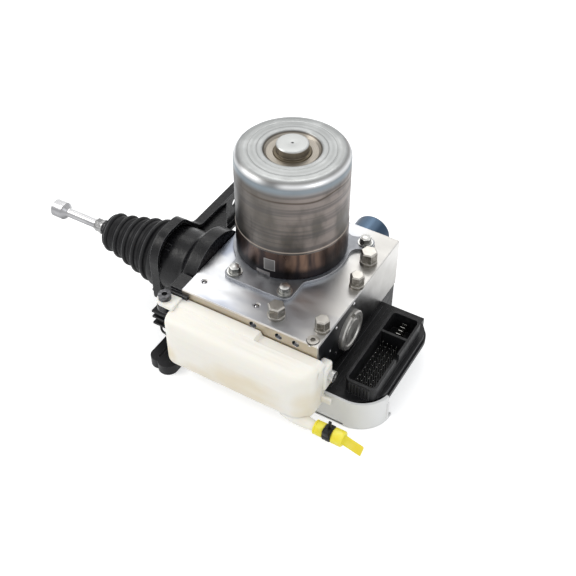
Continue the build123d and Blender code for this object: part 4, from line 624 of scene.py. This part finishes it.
# The shoulder: a painted blue reflection band, the crease below it as a painted shade line, the
# painted highlight above, and the seam over the foot.
tint(drawn, between(up_can, 0.1632, 0.1694, 0.003), (0.21, 0.25, 0.28), 0.85)
crease_shade_line = both_of(up_can, both_of(cloud(drawn, 0.03, (1, 1, 3), 0.0, 8.0), 0.008), "ADD")
crease_shade_strength = ease(round_can, -0.03, 0.02, 0.45, 0.95)
tint(drawn, both_of(between(crease_shade_line, 0.1592, 0.1606, 0.0009), crease_shade_strength), (0.07, 0.055, 0.045))
tint(drawn, between(up_can, 0.1075, 0.1084, 0.0003), (0.45, 0.38, 0.32), 0.5)
painted_shoulder_highlight = ease(cloud(drawn, 0.03, detail=1.0), 0.4, 0.6, 0.1, 1.0)
tint(drawn, both_of(between(up_can, 0.1688, 0.1714, 0.0014), painted_shoulder_highlight), (0.72, 0.73, 0.74))
# The top: painted lighter than the wall as painted light, with soft rings round the brown recess and
# painted shade on the recess edge, and the hub with its dark step and centre.
level_top = both_of(ease(up_can, 0.1712, 0.1727), ease(from_hub, 0.028, 0.026), "MAXIMUM")
tint(drawn, level_top, (0.35, 0.36, 0.36))
tint(drawn, both_of(level_top, ease(cloud(drawn, 0.02, shift=6.0), 0.48, 0.68)), (0.43, 0.44, 0.44))
tint(drawn, both_of(level_top, ease(ripples(from_hub, 1700.0), -1.0, 1.0)), (0.25, 0.255, 0.25), 0.35)
tint(drawn, ease(from_hub, 0.0224, 0.0216), (0.3, 0.27, 0.23), 0.9)
hub_rings = ease(ripples(from_hub, 4200.0), 0.0, 1.0)
tint(drawn, both_of(ease(from_hub, 0.0222, 0.0214), hub_rings), (0.42, 0.39, 0.34), 0.4)
# Painted shade on the recess edge.
tint(drawn, between(from_hub, 0.0214, 0.0224, 0.0002), (0.07, 0.06, 0.05), 0.8)
tint(drawn, between(from_hub, 0.0125, 0.0150, 0.0002), (0.1, 0.08, 0.05), 0.85)
on_hub = both_of(ease(from_hub, 0.0126, 0.0121), ease(up_can, 0.1762, 0.1772))
tint(drawn, on_hub, (0.46, 0.47, 0.465))
tint(drawn, both_of(on_hub, hub_rings), (0.33, 0.335, 0.33), 0.5)
tint(drawn, ease(from_hub, 0.0011, 0.0008), (0.1, 0.1, 0.1))
gloss(drawn, cloud(drawn, 0.012, shift=1.0), 0.3, 0.44)
relief(drawn, cloud(drawn, 0.0014, detail=3.0), 0.00001)
relief(drawn, cloud(drawn, 0.02, (1, 1, 2), 1.0, 5.0), 0.0002)
can_profile = rounded((
    (0.0, 177.3, 0), (0.7, 177.3, 0), (1.0, 177.7, 0.2), (11.5, 177.7, 0.5), (12.5, 177.0, 0.6),
    (12.5, 171.2, 0.4), (14.4, 170.9, 0.5), (14.8, 169.8, 0.3), (19.9, 169.8, 1.2), (22.9, 173.3, 1.4),
    (26.6, 173.3, 0.6), (27.4, 173.05, 0.6), (33.4, 173.05, 0.8), (33.8, 172.9, 0.3), (34.6, 173.0, 0.6),
    (44.7, 172.9, 6.8), (44.7, 108.4, 0.5), (45.0, 107.8, 0.3), (45.0, 106.0, 0),
    (43.0, 106.0, 0), (43.0, 166.0, 4.0), (0.0, 167.0, 0),
), 8)
can_mesh = bmesh.new()
turn(can_mesh, [(level, radius) for radius, level in can_profile], (0, 0), "Z", 160)
motor_can = show("drawn_can", can_mesh, drawn, 24)
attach(motor_can, "root")
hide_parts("motor_can")

# Inside the motor: laminated stator, enamelled windings, bearings, a hollow rotor with its magnets,
# and the ball nut and screw that push the pump piston.
lamination = clouded("lamination", (0.25, 0.25, 0.26), 0.4, 1.0, 0.01, (0.16, 0.16, 0.17), (0.38, 0.38, 0.38))
relief(lamination, cloud(lamination, 0.0005, (60, 60, 1), 1.0), 0.0001)
dress(lamination, "stator")
enamel = clouded("enamelled_wire", (0.5, 0.16, 0.05), 0.35, 0.8, 0.003, (0.3, 0.09, 0.03), (0.7, 0.28, 0.1))
relief(enamel, cloud(enamel, 0.0008, (1, 1, 30), 1.0), 0.0002)
dress(enamel, "stator_windings")
race = clouded("bearing_steel", (0.6, 0.6, 0.61), 0.2, 1.0, 0.005, (0.45, 0.45, 0.46), (0.8, 0.8, 0.8))
dress(race, "upper_bearing", "lower_bearing")
magnet = clouded("magnet_plate", (0.2, 0.2, 0.21), 0.3, 1.0, 0.004, (0.12, 0.12, 0.13), (0.34, 0.34, 0.35))
dress(magnet, "rotor_magnets")
ground = clouded("ground_steel", (0.48, 0.47, 0.45), 0.28, 1.0, 0.006, (0.34, 0.33, 0.32), (0.66, 0.65, 0.62))
dress(ground, "rotor", "ball_nut", "drive_screw")

# Simulator cap: turned aluminium, anodised steel-blue, screwed into the block's rear face over the
# spring that gives the pedal its feel.
blue = finish("blue_anodising", (0.04, 0.07, 0.115), 0.34, 0.9)
blue_edge_highlight = soften(blue, 0.0005)
tint(blue, ease(cloud(blue, 0.03, (1, 3, 1), 2.0), 0.45, 0.65), (0.028, 0.05, 0.085))
# Painted highlights: the cap's top is lighter than its sides, and its edges lighter still.
tint(blue, ease(facing(blue, "Z"), 0.8, 0.95), (0.14, 0.21, 0.3), 0.6)
tint(blue, blue_edge_highlight, (0.4, 0.52, 0.66), 0.6)
relief(blue, cloud(blue, 0.0006, (1, 40, 1), 1.0), 0.00003)
dress(blue, "simulator_cap")

# Mounting bracket: a cast iron plate, neck and collar in glossy black dip paint, with a painted
# highlight along its rim and edges. Its screws are black socket heads.
black_paint = finish("black_paint", (0.006, 0.006, 0.007), 0.26, shine=0.25)
paint_edge_highlight = soften(black_paint, 0.0008)
tint(black_paint, ease(cloud(black_paint, 0.02), 0.45, 0.7), (0.012, 0.012, 0.013))
# Painted highlight along the rim and edges.
tint(black_paint, paint_edge_highlight, (0.24, 0.24, 0.25), 0.7)
gloss(black_paint, cloud(black_paint, 0.004), 0.2, 0.36)
relief(black_paint, cloud(black_paint, 0.0022, detail=3.0), 0.00012)
dress(black_paint, "mounting_bracket")
oxide = clouded("black_oxide", (0.05, 0.05, 0.052), 0.35, 1.0, 0.002, (0.02, 0.02, 0.02), (0.2, 0.2, 0.2))
soften(oxide, 0.0003)
dress(oxide, "bracket_screws")


# Rubber boot: a moulded bellows from the rod to the bracket, with a beaded lip, five folds and a
# thick foot. The crests are rounded, each with a painted grey highlight line on its left side, and
# the folds between them are sharp.
def strongest(patterns):
    """The strongest of several patterns at each point."""
    result = patterns[0]
    for pattern in patterns[1:]:
        result = both_of(result, pattern, "MAXIMUM")
    return result


boot_crests = ((-152.5, 17.3), (-141.0, 19.3), (-129.8, 22.0), (-118.8, 24.7), (-107.3, 27.4))
boot_foot = (-100.0, 28.8)
crest_half, crest_rise = 1.9, 1.5
fold_half, fold_depth, fold_curve = 1.3, 3.4, 0.7
boot_rubber = finish("boot_rubber", (0.008, 0.008, 0.009), 0.5, shine=0.22)
along_boot = along(boot_rubber, "X")
tint(boot_rubber, ease(cloud(boot_rubber, 0.015), 0.45, 0.7), (0.015, 0.015, 0.016))
# Painted highlight: a grey line on the left side of each crest.
crest_highlight_lines = strongest([
    between(along_boot, (crest_x - 1.85) / 1000, (crest_x - 1.05) / 1000, 0.00025)
    for crest_x, _ in boot_crests
])
crest_highlight_share = ease(cloud(boot_rubber, 0.004, (1, 3, 3), 2.0, 3.0), 0.45, 0.7, 0.2, 0.5)
tint(boot_rubber, both_of(crest_highlight_lines, crest_highlight_share), (0.3, 0.3, 0.31))
gloss(boot_rubber, cloud(boot_rubber, 0.005), 0.38, 0.6)
relief(boot_rubber, cloud(boot_rubber, 0.0008, detail=2.0), 0.00006)
boot_profile = [
    (-161.5, 4.3), (-161.5, 5.6), (-161.0, 6.2), (-158.6, 6.4), (-158.0, 6.9), (-157.4, 12.0), (-156.6, 15.2),
]
for (crest_x, crest), (next_x, next_crest) in zip(boot_crests, boot_crests[1:] + (boot_foot,)):
    for angle in range(0, 181, 20):
        lift = crest_rise * sin(radians(angle)) - crest_rise
        boot_profile.append((crest_x - crest_half * cos(radians(angle)), crest + lift))
    middle, valley = (crest_x + next_x) / 2, (crest + next_crest) / 2 - fold_depth
    for step in (-1.0, -0.45, 0.0, 0.45, 1.0):
        boot_profile.append((middle + step * fold_half, valley + fold_curve * step * step))
boot_profile += [
    (-101.0, 27.6), (-100.6, 28.4), (-99.8, 28.8), (-94.6, 28.8), (-94.05, 28.3), (-94.05, 24.9),
    (-91.1, 24.9), (-91.1, 23.3), (-95.0, 23.3),
]
for crest_x, crest in reversed(boot_crests):
    boot_profile += [(crest_x + 5.2, crest - 5.0), (crest_x, crest - 1.6), (crest_x - 4.0, crest - 4.6)]
boot_profile += [(-155.4, 12.0), (-155.6, 5.0), (-156.5, 4.3)]
boot_mesh = bmesh.new()
turn(boot_mesh, boot_profile, pedal_axis, "X", 120, closed=True)
boot = show("bellows", boot_mesh, boot_rubber, 38)
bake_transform(boot)
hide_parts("boot")

# Pedal rod: turned and plated steel, with a dished head for the pedal's clip and a ball in the
# primary piston. The adjuster nut is plated hex bar, and the washer is stamped.
chrome = clouded("rod_plating", (0.4, 0.4, 0.41), 0.26, 1.0, 0.03, (0.33, 0.33, 0.34), (0.48, 0.48, 0.49))
# Painted highlight on the rod's upper side and painted shade on its underside.
tint(chrome, ease(facing(chrome, "Z"), 0.75, 0.95), (0.78, 0.78, 0.79), 0.8)
tint(chrome, ease(facing(chrome, "Z"), 0.2, -0.5), (0.12, 0.12, 0.125), 0.9)
relief(chrome, cloud(chrome, 0.0005, (1, 50, 50), 1.0), 0.00002)
rod_profile = rounded((
    (-219.2, 0.0, 0), (-219.2, 4.2, 0.4), (-220.0, 4.8, 0.3), (-220.0, 6.6, 0.3), (-219.0, 7.75, 0.6),
    (-208.6, 7.75, 0.7), (-207.6, 7.0, 0.5), (-205.2, 4.6, 0.8), (-204.4, 4.0, 0.8),
    (-48.5, 4.0, 0.4), (-47.3, 4.0, 0),
), 5)
ball_x, ball_radius = -43.0, 6.0
for angle in range(42, 181, 12):
    rod_profile.append((ball_x - ball_radius * cos(radians(angle)), ball_radius * sin(radians(angle))))
rod_mesh = bmesh.new()
turn(rod_mesh, rod_profile, pedal_axis, "X", 64)
rod = show("push_rod", rod_mesh, chrome, 40)
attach(rod, "rod")
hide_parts("pedal_rod")
nut_plate = clouded("nut_plating", (0.36, 0.36, 0.36), 0.3, 1.0, 0.003, (0.2, 0.2, 0.2), (0.6, 0.6, 0.6))
soften(nut_plate, 0.0004)
dress(nut_plate, "adjuster_nut", "rod_washer")


# Reservoir: a blow-moulded polyethylene tank, milky, with ridges along it from the mould, held by a
# black screw in its left ear and a plated one in its right lug. Brake fluid inside it shows as a tan
# stain low on the front wall.
def let_light_in(material, weight, colour_reach, depth):
    """Makes a plastic milky: light goes in and spreads over a depth in metres."""
    shader = material.node_tree.nodes["Principled BSDF"]
    shader.inputs["Subsurface Weight"].default_value = weight
    shader.inputs["Subsurface Radius"].default_value = colour_reach
    shader.inputs["Subsurface Scale"].default_value = depth


def spot(material, centre, reach):
    """1 at a place on the piece, fading to 0 at its reach along each axis, in millimetres."""
    tree = material.node_tree
    place = tree.nodes.new("ShaderNodeMapping")
    place.vector_type = "TEXTURE"
    place.inputs["Location"].default_value = [c / 1000 for c in centre]
    place.inputs["Scale"].default_value = [c / 1000 for c in reach]
    tree.links.new(part_place(material), place.inputs["Vector"])
    ball = tree.nodes.new("ShaderNodeTexGradient")
    ball.gradient_type = "SPHERICAL"
    tree.links.new(place.outputs["Vector"], ball.inputs["Vector"])
    return ball.outputs["Fac"]


milky = finish("milky_plastic", (0.88, 0.85, 0.78), 0.42)
let_light_in(milky, 0.35, (1.0, 0.8, 0.55), 0.004)
fluid = strongest([both_of(spot(milky, centre, reach), share) for centre, reach, share in (
    ((26, -118, 34), (48, 30, 24), 1.0),
    ((-8, -118, 27), (40, 30, 14), 0.7),
    ((-44, -110, 34), (14, 26, 16), 0.9),
    ((74, -104, 34), (14, 30, 24), 0.9),
)])
fluid = both_of(fluid, both_of(cloud(milky, 0.02, detail=3.0), 0.5), "ADD")
tint(milky, ease(fluid, 0.3, 0.95), (0.74, 0.63, 0.42), 0.6)
tint(milky, ease(cloud(milky, 0.03, (3, 1, 1), 2.0, 5.0), 0.5, 0.75), (0.9, 0.89, 0.86), 0.5)
gloss(milky, cloud(milky, 0.008), 0.34, 0.5)
relief(milky, cloud(milky, 0.003, (4, 1, 1), 3.0), 0.00008)

tank_left, tank_right, tank_back, tank_front = -50.0, 80.0, -88.6, -116.1
tank_top, tank_foot = 70.0, 19.0
shelf_from, shelf_drop = 25.0, 4.0
left_round, right_round, end_round = 10.0, 14.0, 5.0
wall_swell = 1.8
tank_ridges = ((-95.5, 70.0), (-103.0, 69.2), (-110.5, 68.4), (-116.1, 58.0), (-117.9, 50.5), (-117.9, 42.5))
ridge_rise, ridge_reach = 0.42, 2.2
corner_steps = 5
side_steps = (4, 1, 18, 44, 16, 16)


def inset(distance, radius):
    """How far a rounded corner stands back at a distance from the end."""
    return radius - sqrt(max(0.0, radius ** 2 - (radius - min(distance, radius)) ** 2))


def smooth(value):
    """Rises softly from 0 to 1 as value does."""
    value = min(1.0, max(0.0, value))
    return value * value * (3 - 2 * value)


def tank_section(x):
    """The tank's outline in Y and Z at one place along it, swelled in front and ridged."""
    front = tank_front + max(inset(x - tank_left, left_round), inset(tank_right - x, right_round))
    pinch = max(inset(x - tank_left, end_round), inset(tank_right - x, end_round))
    top, foot = tank_top - pinch, tank_foot + pinch
    shelf = top - shelf_drop * smooth((x - shelf_from) / 1.6 + 0.5)
    outline = rounded((
        (tank_back, shelf, 0.8), (-98.0, shelf - 0.02, 1.0), (-98.8, top - 0.85, 0.6),
        (front, top - 2.3, 6.0), (front, foot, 6.0), (tank_back, foot, 3.0),
    ), corner_steps)
    outline.append(outline[0])
    ends = smooth((x - tank_left - 4) / 14) * smooth((tank_right - 6 - x) / 16)
    counts = [count for side in side_steps for count in [1] * corner_steps + [side]]
    points = []
    for (y1, z1), (y2, z2), count in zip(outline, outline[1:], counts):
        for part in range(count):
            y, z = y1 + (y2 - y1) * part / count, z1 + (z2 - z1) * part / count
            y -= wall_swell * ends * smooth((z - 22) / 9) * smooth((66 - z) / 9) * smooth((-y - 110) / 5)
            gaps = [sqrt((y - ridge_y) ** 2 + (z - ridge_z) ** 2) for ridge_y, ridge_z in tank_ridges]
            rise = 0.7 * ends * ridge_rise * smooth(1 - min(gaps) / ridge_reach)
            y -= rise
            z += rise if z > 60 else 0.0
            points.append((y, z))
    return points


straight = tank_right - tank_left - left_round - right_round
stations = [tank_left + left_round * (1 - cos(radians(a))) for a in range(0, 90, 9)]
stations += [tank_left + left_round + straight * k / 56 for k in range(57)]
stations += [tank_right - right_round * (1 - sin(radians(a))) for a in range(9, 91, 9)]
tank_mesh = bmesh.new()
loops = [
    [tank_mesh.verts.new((x / 1000, y / 1000, z / 1000)) for y, z in tank_section(x)]
    for x in sorted(stations)
]


def skin(mesh, layers):
    """Walls between loops of as many points, and a face over each end."""
    for low, high in zip(layers, layers[1:]):
        for k in range(len(low)):
            n = (k + 1) % len(low)
            mesh.faces.new((low[k], low[n], high[n], high[k]))
    mesh.faces.new(list(reversed(layers[0])))
    mesh.faces.new(layers[-1])


def brick(mesh, low, high, radius, steps=3):
    """A block with rounded edges, between two corners in millimetres."""
    made = bmesh.ops.create_cube(mesh, size=1.0)["verts"]
    for vert in made:
        vert.co = Vector([((l + h) / 2 + c * (h - l)) / 1000 for c, l, h in zip(vert.co, low, high)])
    edges = {edge for vert in made for edge in vert.link_edges}
    bmesh.ops.bevel(mesh, geom=list(edges), offset=radius / 1000, segments=steps, affect="EDGES", profile=0.5)


def slab(mesh, outline, low, high, radius):
    """A flat piece of a given outline in X and Y, with a rounded upper and lower rim."""
    middle = Vector((sum(p[0] for p in outline) / len(outline), sum(p[1] for p in outline) / len(outline)))
    layers = []
    for level, shrink in (
        (low, radius), (low + radius * 0.3, radius * 0.3), (low + radius, 0),
        (high - radius, 0), (high - radius * 0.3, radius * 0.3), (high, radius),
    ):
        layer = []
        for point in outline:
            away = Vector(point) - middle
            place = middle + away - away.normalized() * shrink
            layer.append(mesh.verts.new((place.x / 1000, place.y / 1000, level / 1000)))
        layers.append(layer)
    skin(mesh, layers)


def arc(centre, radius, first, last, steps=14):
    """Points on part of a circle, by degrees."""
    angles = [radians(first + (last - first) * step / steps) for step in range(steps + 1)]
    return [(centre[0] + radius * cos(a), centre[1] + radius * sin(a)) for a in angles]


skin(tank_mesh, loops)
ear = arc((-56.5, -98.0), 6.7, 90, 270, 20)
slab(tank_mesh, ear + [(-45.0, -104.7), (-45.0, -91.3)], 68.0, 72.0, 1.0)
brick(tank_mesh, (73.3, -92.0, 36.5), (82.0, -80.0, 61.5), 2.2)  # lug
brick(tank_mesh, (72.0, -94.2, 27.0), (88.0, -91.8, 33.0), 0.7)  # clip tab
nipple = [(-89.6, 0), (-89.6, 5.0), (-82.6, 5.0), (-82.1, 4.5), (-82.1, 0)]
for nipple_x in (-35.0, 23.0):
    turn(tank_mesh, nipple, (nipple_x, 55.0), "Y", 32)
spout_axis = (-112.0, 20.0)  # Y and Z
spout_profile = [
    (56.0, 0), (56.0, 3.0), (66.0, 5.0), (78.0, 5.0), (81.5, 4.5), (84.5, 4.0), (106.6, 4.0), (107.0, 3.6),
    (107.0, 2.4), (90.0, 2.4), (90.0, 0),
]
turn(tank_mesh, spout_profile, spout_axis, "X", 40)
tank = show("tank", tank_mesh, milky, 40)
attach(tank, "root")
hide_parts("reservoir")
ear_screw = clouded("ear_screw", (0.11, 0.11, 0.115), 0.36, 1.0, 0.003, (0.06, 0.06, 0.065), (0.2, 0.2, 0.21))
tint(ear_screw, ease(along(ear_screw, "X"), 0.06, 0.07), (0.62, 0.62, 0.61), 0.9)
soften(ear_screw, 0.0004)
dress(ear_screw, "reservoir_screws")

# Spout cap: a soft yellow sleeve pushed over the spout, moulded with a grooved mouth, a neck for the
# tie and a flat, slightly drooping stub.
yellow = finish("yellow_plastic", (0.87, 0.74, 0.035), 0.38)
let_light_in(yellow, 0.3, (1.0, 0.7, 0.1), 0.003)
tint(yellow, ease(cloud(yellow, 0.008), 0.45, 0.7), (0.93, 0.84, 0.16), 0.6)
tint(yellow, ease(along(yellow, "X"), 0.109, 0.118), (0.72, 0.57, 0.04), 0.5)
gloss(yellow, cloud(yellow, 0.005), 0.3, 0.48)
relief(yellow, cloud(yellow, 0.002), 0.00006)
cap_profile = rounded((
    (85.5, 4.05, 0), (85.5, 5.8, 0.5), (86.8, 5.8, 0.3), (87.1, 5.4, 0.2), (87.6, 5.4, 0.2),
    (87.9, 5.8, 0.3), (93.2, 5.8, 0.5), (93.7, 5.0, 0.3), (100.8, 5.0, 0.3), (101.3, 6.3, 0.7),
    (110.0, 6.3, 1.5), (110.0, 0.0, 0),
), 5)
cap_mesh = bmesh.new()
turn(cap_mesh, cap_profile + [(107.1, 0.0), (107.1, 4.05)], spout_axis, "X", 56, closed=True)
stub_start, stub_length, stub_droop, stub_roll = 109.0, 16.0, 4.5, radians(35)
stub_corner = 0.45  # below 1 squares the section's corners
stub = []
for share, width, thick in (
    (0.0, 7.9, 4.6), (0.12, 7.6, 3.3), (0.5, 7.4, 3.0), (0.9, 7.5, 3.0), (0.97, 7.2, 2.6), (1.0, 6.4, 1.8),
):
    ring = []
    for angle in range(0, 360, 15):
        c, s = cos(radians(angle)), sin(radians(angle))
        across = width / 2 * copysign(abs(c) ** stub_corner, c)
        up = thick / 2 * copysign(abs(s) ** stub_corner, s)
        y = spout_axis[0] + across * cos(stub_roll) - up * sin(stub_roll)
        z = spout_axis[1] - stub_droop * share + across * sin(stub_roll) + up * cos(stub_roll)
        ring.append(cap_mesh.verts.new(((stub_start + stub_length * share) / 1000, y / 1000, z / 1000)))
    stub.append(ring)
skin(cap_mesh, stub)
cap = show("spout_sleeve", cap_mesh, yellow, 40)
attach(cap, "root")
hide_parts("spout_cap")

# Cable tie: black nylon, pulled tight round the cap's neck, with its locking head in front and its
# cut tail standing up.
tie_nylon = clouded(
    "tie_nylon", (0.01, 0.01, 0.011), 0.4, 0.0, 0.004, (0.006, 0.006, 0.006), (0.024, 0.024, 0.024), 0.25
)
soften(tie_nylon, 0.0003)
tie_band = [
    (94.0, 5.05), (94.0, 6.1), (94.5, 6.5), (96.4, 6.3), (97.2, 6.6), (99.9, 6.5), (100.5, 6.0), (100.5, 5.05)
]
tie_mesh = bmesh.new()
turn(tie_mesh, tie_band, spout_axis, "X", 40, closed=True)
brick(tie_mesh, (94.2, -118.6, 22.2), (99.6, -113.6, 27.4), 0.8)  # head
brick(tie_mesh, (96.9, -113.6, 25.0), (99.3, -111.9, 34.5), 0.5)  # tail
cable_tie = show("cable_tie_band", tie_mesh, tie_nylon, 30)
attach(cable_tie, "root")
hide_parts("cable_tie")

# Electronics cover: a pale moulded tray welded under the black housing. Its front wall is raised
# round the corner and ends in a small hook, and posts inside it carry the circuit board.
pale = finish("pale_plastic", (0.8, 0.8, 0.79), 0.45)
pale_edge_highlight = soften(pale, 0.0006)
tint(pale, ease(cloud(pale, 0.03), 0.4, 0.65), (0.75, 0.75, 0.745), 0.6)
# Painted highlight along the tray's edges.
tint(pale, pale_edge_highlight, (0.88, 0.88, 0.875), 0.5)
gloss(pale, cloud(pale, 0.006), 0.38, 0.55)
relief(pale, cloud(pale, 0.0009, detail=2.0), 0.00005)
tray_left, tray_front, tray_corner = -50.0, -87.0, (96.3, -59.5)
wall_outer, wall_inner, wall_end = 27.5, 25.3, -12
tray_floor, wall_foot, wall_top = 2.5, 1.2, 29.2


def prism(mesh, outline, low, high):
    """A straight solid over an outline in X and Y, in millimetres."""
    skin(mesh, [
        [mesh.verts.new((x / 1000, y / 1000, level / 1000)) for x, y in outline] for level in (low, high)
    ])


tray_mesh = bmesh.new()
prism(tray_mesh, [
    (tray_left, tray_front), *arc(tray_corner, wall_outer, -90, 0), (123.8, -58.5), (111.8, -58.5),
    (111.8, 22.5), (73.0, 22.5), (73.0, 46.0), (tray_left, 46.0),
], 0.0, tray_floor)
prism(tray_mesh, [
    (tray_left, tray_front), *arc(tray_corner, wall_outer, -90, wall_end),
    *arc(tray_corner, wall_inner, wall_end, -90), (tray_left, tray_front + wall_outer - wall_inner),
], wall_foot, wall_top)
brick(tray_mesh, (121.3, -67.0, 4.0), (124.0, -64.4, 22.0), 0.6)  # hook
for post_place in ((-40.0, 0.0), (60.0, 0.0), (60.0, -60.0), (100.0, 12.0), (96.0, -76.0)):
    turn(tray_mesh, [(wall_foot, 0), (wall_foot, 2.5), (5.0, 2.5), (5.0, 0)], post_place, "Z", 24)
tray = show("cover_tray", tray_mesh, pale, 30)
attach(tray, "root")
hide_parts("electronics_cover")

# Electronics housing: glass-filled black plastic with a stepped flange and the connector's shroud,
# pale grey inside its outer wall. A painted grey highlight runs along its moulded edges. Screws and
# board are inside.
housing_plastic = finish("housing_plastic", (0.009, 0.009, 0.01), 0.44, shine=0.22)
housing_edge_highlight = soften(housing_plastic, 0.0005)
tint(housing_plastic, ease(cloud(housing_plastic, 0.012), 0.45, 0.7), (0.016, 0.016, 0.017))
# Painted highlight along the moulded edges.
tint(housing_plastic, housing_edge_highlight, (0.12, 0.12, 0.125), 0.6)
inner_wall = both_of(
    ease(facing(housing_plastic, "X"), -0.5, -0.9), ease(along(housing_plastic, "X"), 0.112, 0.1125)
)
over_floor = ease(along(housing_plastic, "Z"), 0.03, 0.033)
tint(housing_plastic, both_of(inner_wall, over_floor), (0.3, 0.31, 0.33))
gloss(housing_plastic, cloud(housing_plastic, 0.004), 0.34, 0.5)
relief(housing_plastic, cloud(housing_plastic, 0.0007, detail=2.0), 0.00006)
dress(housing_plastic, "electronics_housing", "travel_sensor", "lead_connector")
board = clouded("board_green", (0.02, 0.12, 0.05), 0.4, 0.0, 0.006, (0.01, 0.08, 0.03), (0.05, 0.2, 0.09))
dress(board, "circuit_board")
dress(zinc, "housing_screws")

# Connector pins: square tinned wire with pointed tips, 48 in four rows, and five flat blades in
# the rear cell. They are pressed through the housing's floor into the board.
tinned = clouded("tinned_wire", (0.42, 0.41, 0.39), 0.3, 1.0, 0.001, (0.2, 0.2, 0.19), (0.62, 0.61, 0.58))
pin_rows, pins_in_row, pin_pitch, pin_middle = (96.5, 100.3, 104.1, 107.9), 12, 4.4, -47.0
pin_places = [
    (x, pin_middle + pin_pitch * (k - (pins_in_row - 1) / 2), 0.0)
    for x in pin_rows for k in range(pins_in_row)
]
pin_tree, pin = new_tree("contact_pin", "Side", "Tip", "Foot", "Shank", "Point")
pin_shapes = [
    stacked(cone(pin["Side"], pin["Side"], pin["Shank"], 4), pin["Foot"]),
    stacked(cone(pin["Side"], pin["Tip"], pin["Point"], 4), pin["Foot"], pin["Shank"]),
]
place_each(pin_tree, pin, pin_shapes, tinned, (0, 0, radians(45)))
pins = grow("contact_pins", pin_places, pin_tree, tinned, Side=0.56, Tip=0.2, Foot=6.6, Shank=28.1, Point=1.0)
blade_pitch, blade_middle, blade_half = 4.0, -5.0, 0.4
blade_mesh = bmesh.new()
for k in range(5):
    blade_y = blade_middle + blade_pitch * (k - 2)
    brick(blade_mesh, (101.0, blade_y - blade_half, 6.6), (105.0, blade_y + blade_half, 35.7), 0.2, 2)
blades = show("contact_blades", blade_mesh, tinned)
for contact in (pins, blades):
    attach(contact, "root")
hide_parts("connector_pins")

# Sensor lead: a thin sheathed cable from the travel sensor down to its connector, clipped in at
# both ends and bent twice on its way.
sheath = clouded(
    "lead_sheath", (0.012, 0.012, 0.012), 0.42, 0.0, 0.003, (0.008, 0.008, 0.008), (0.03, 0.03, 0.03)
)
relief(sheath, cloud(sheath, 0.0006), 0.00005)
dress(sheath, "sensor_lead")
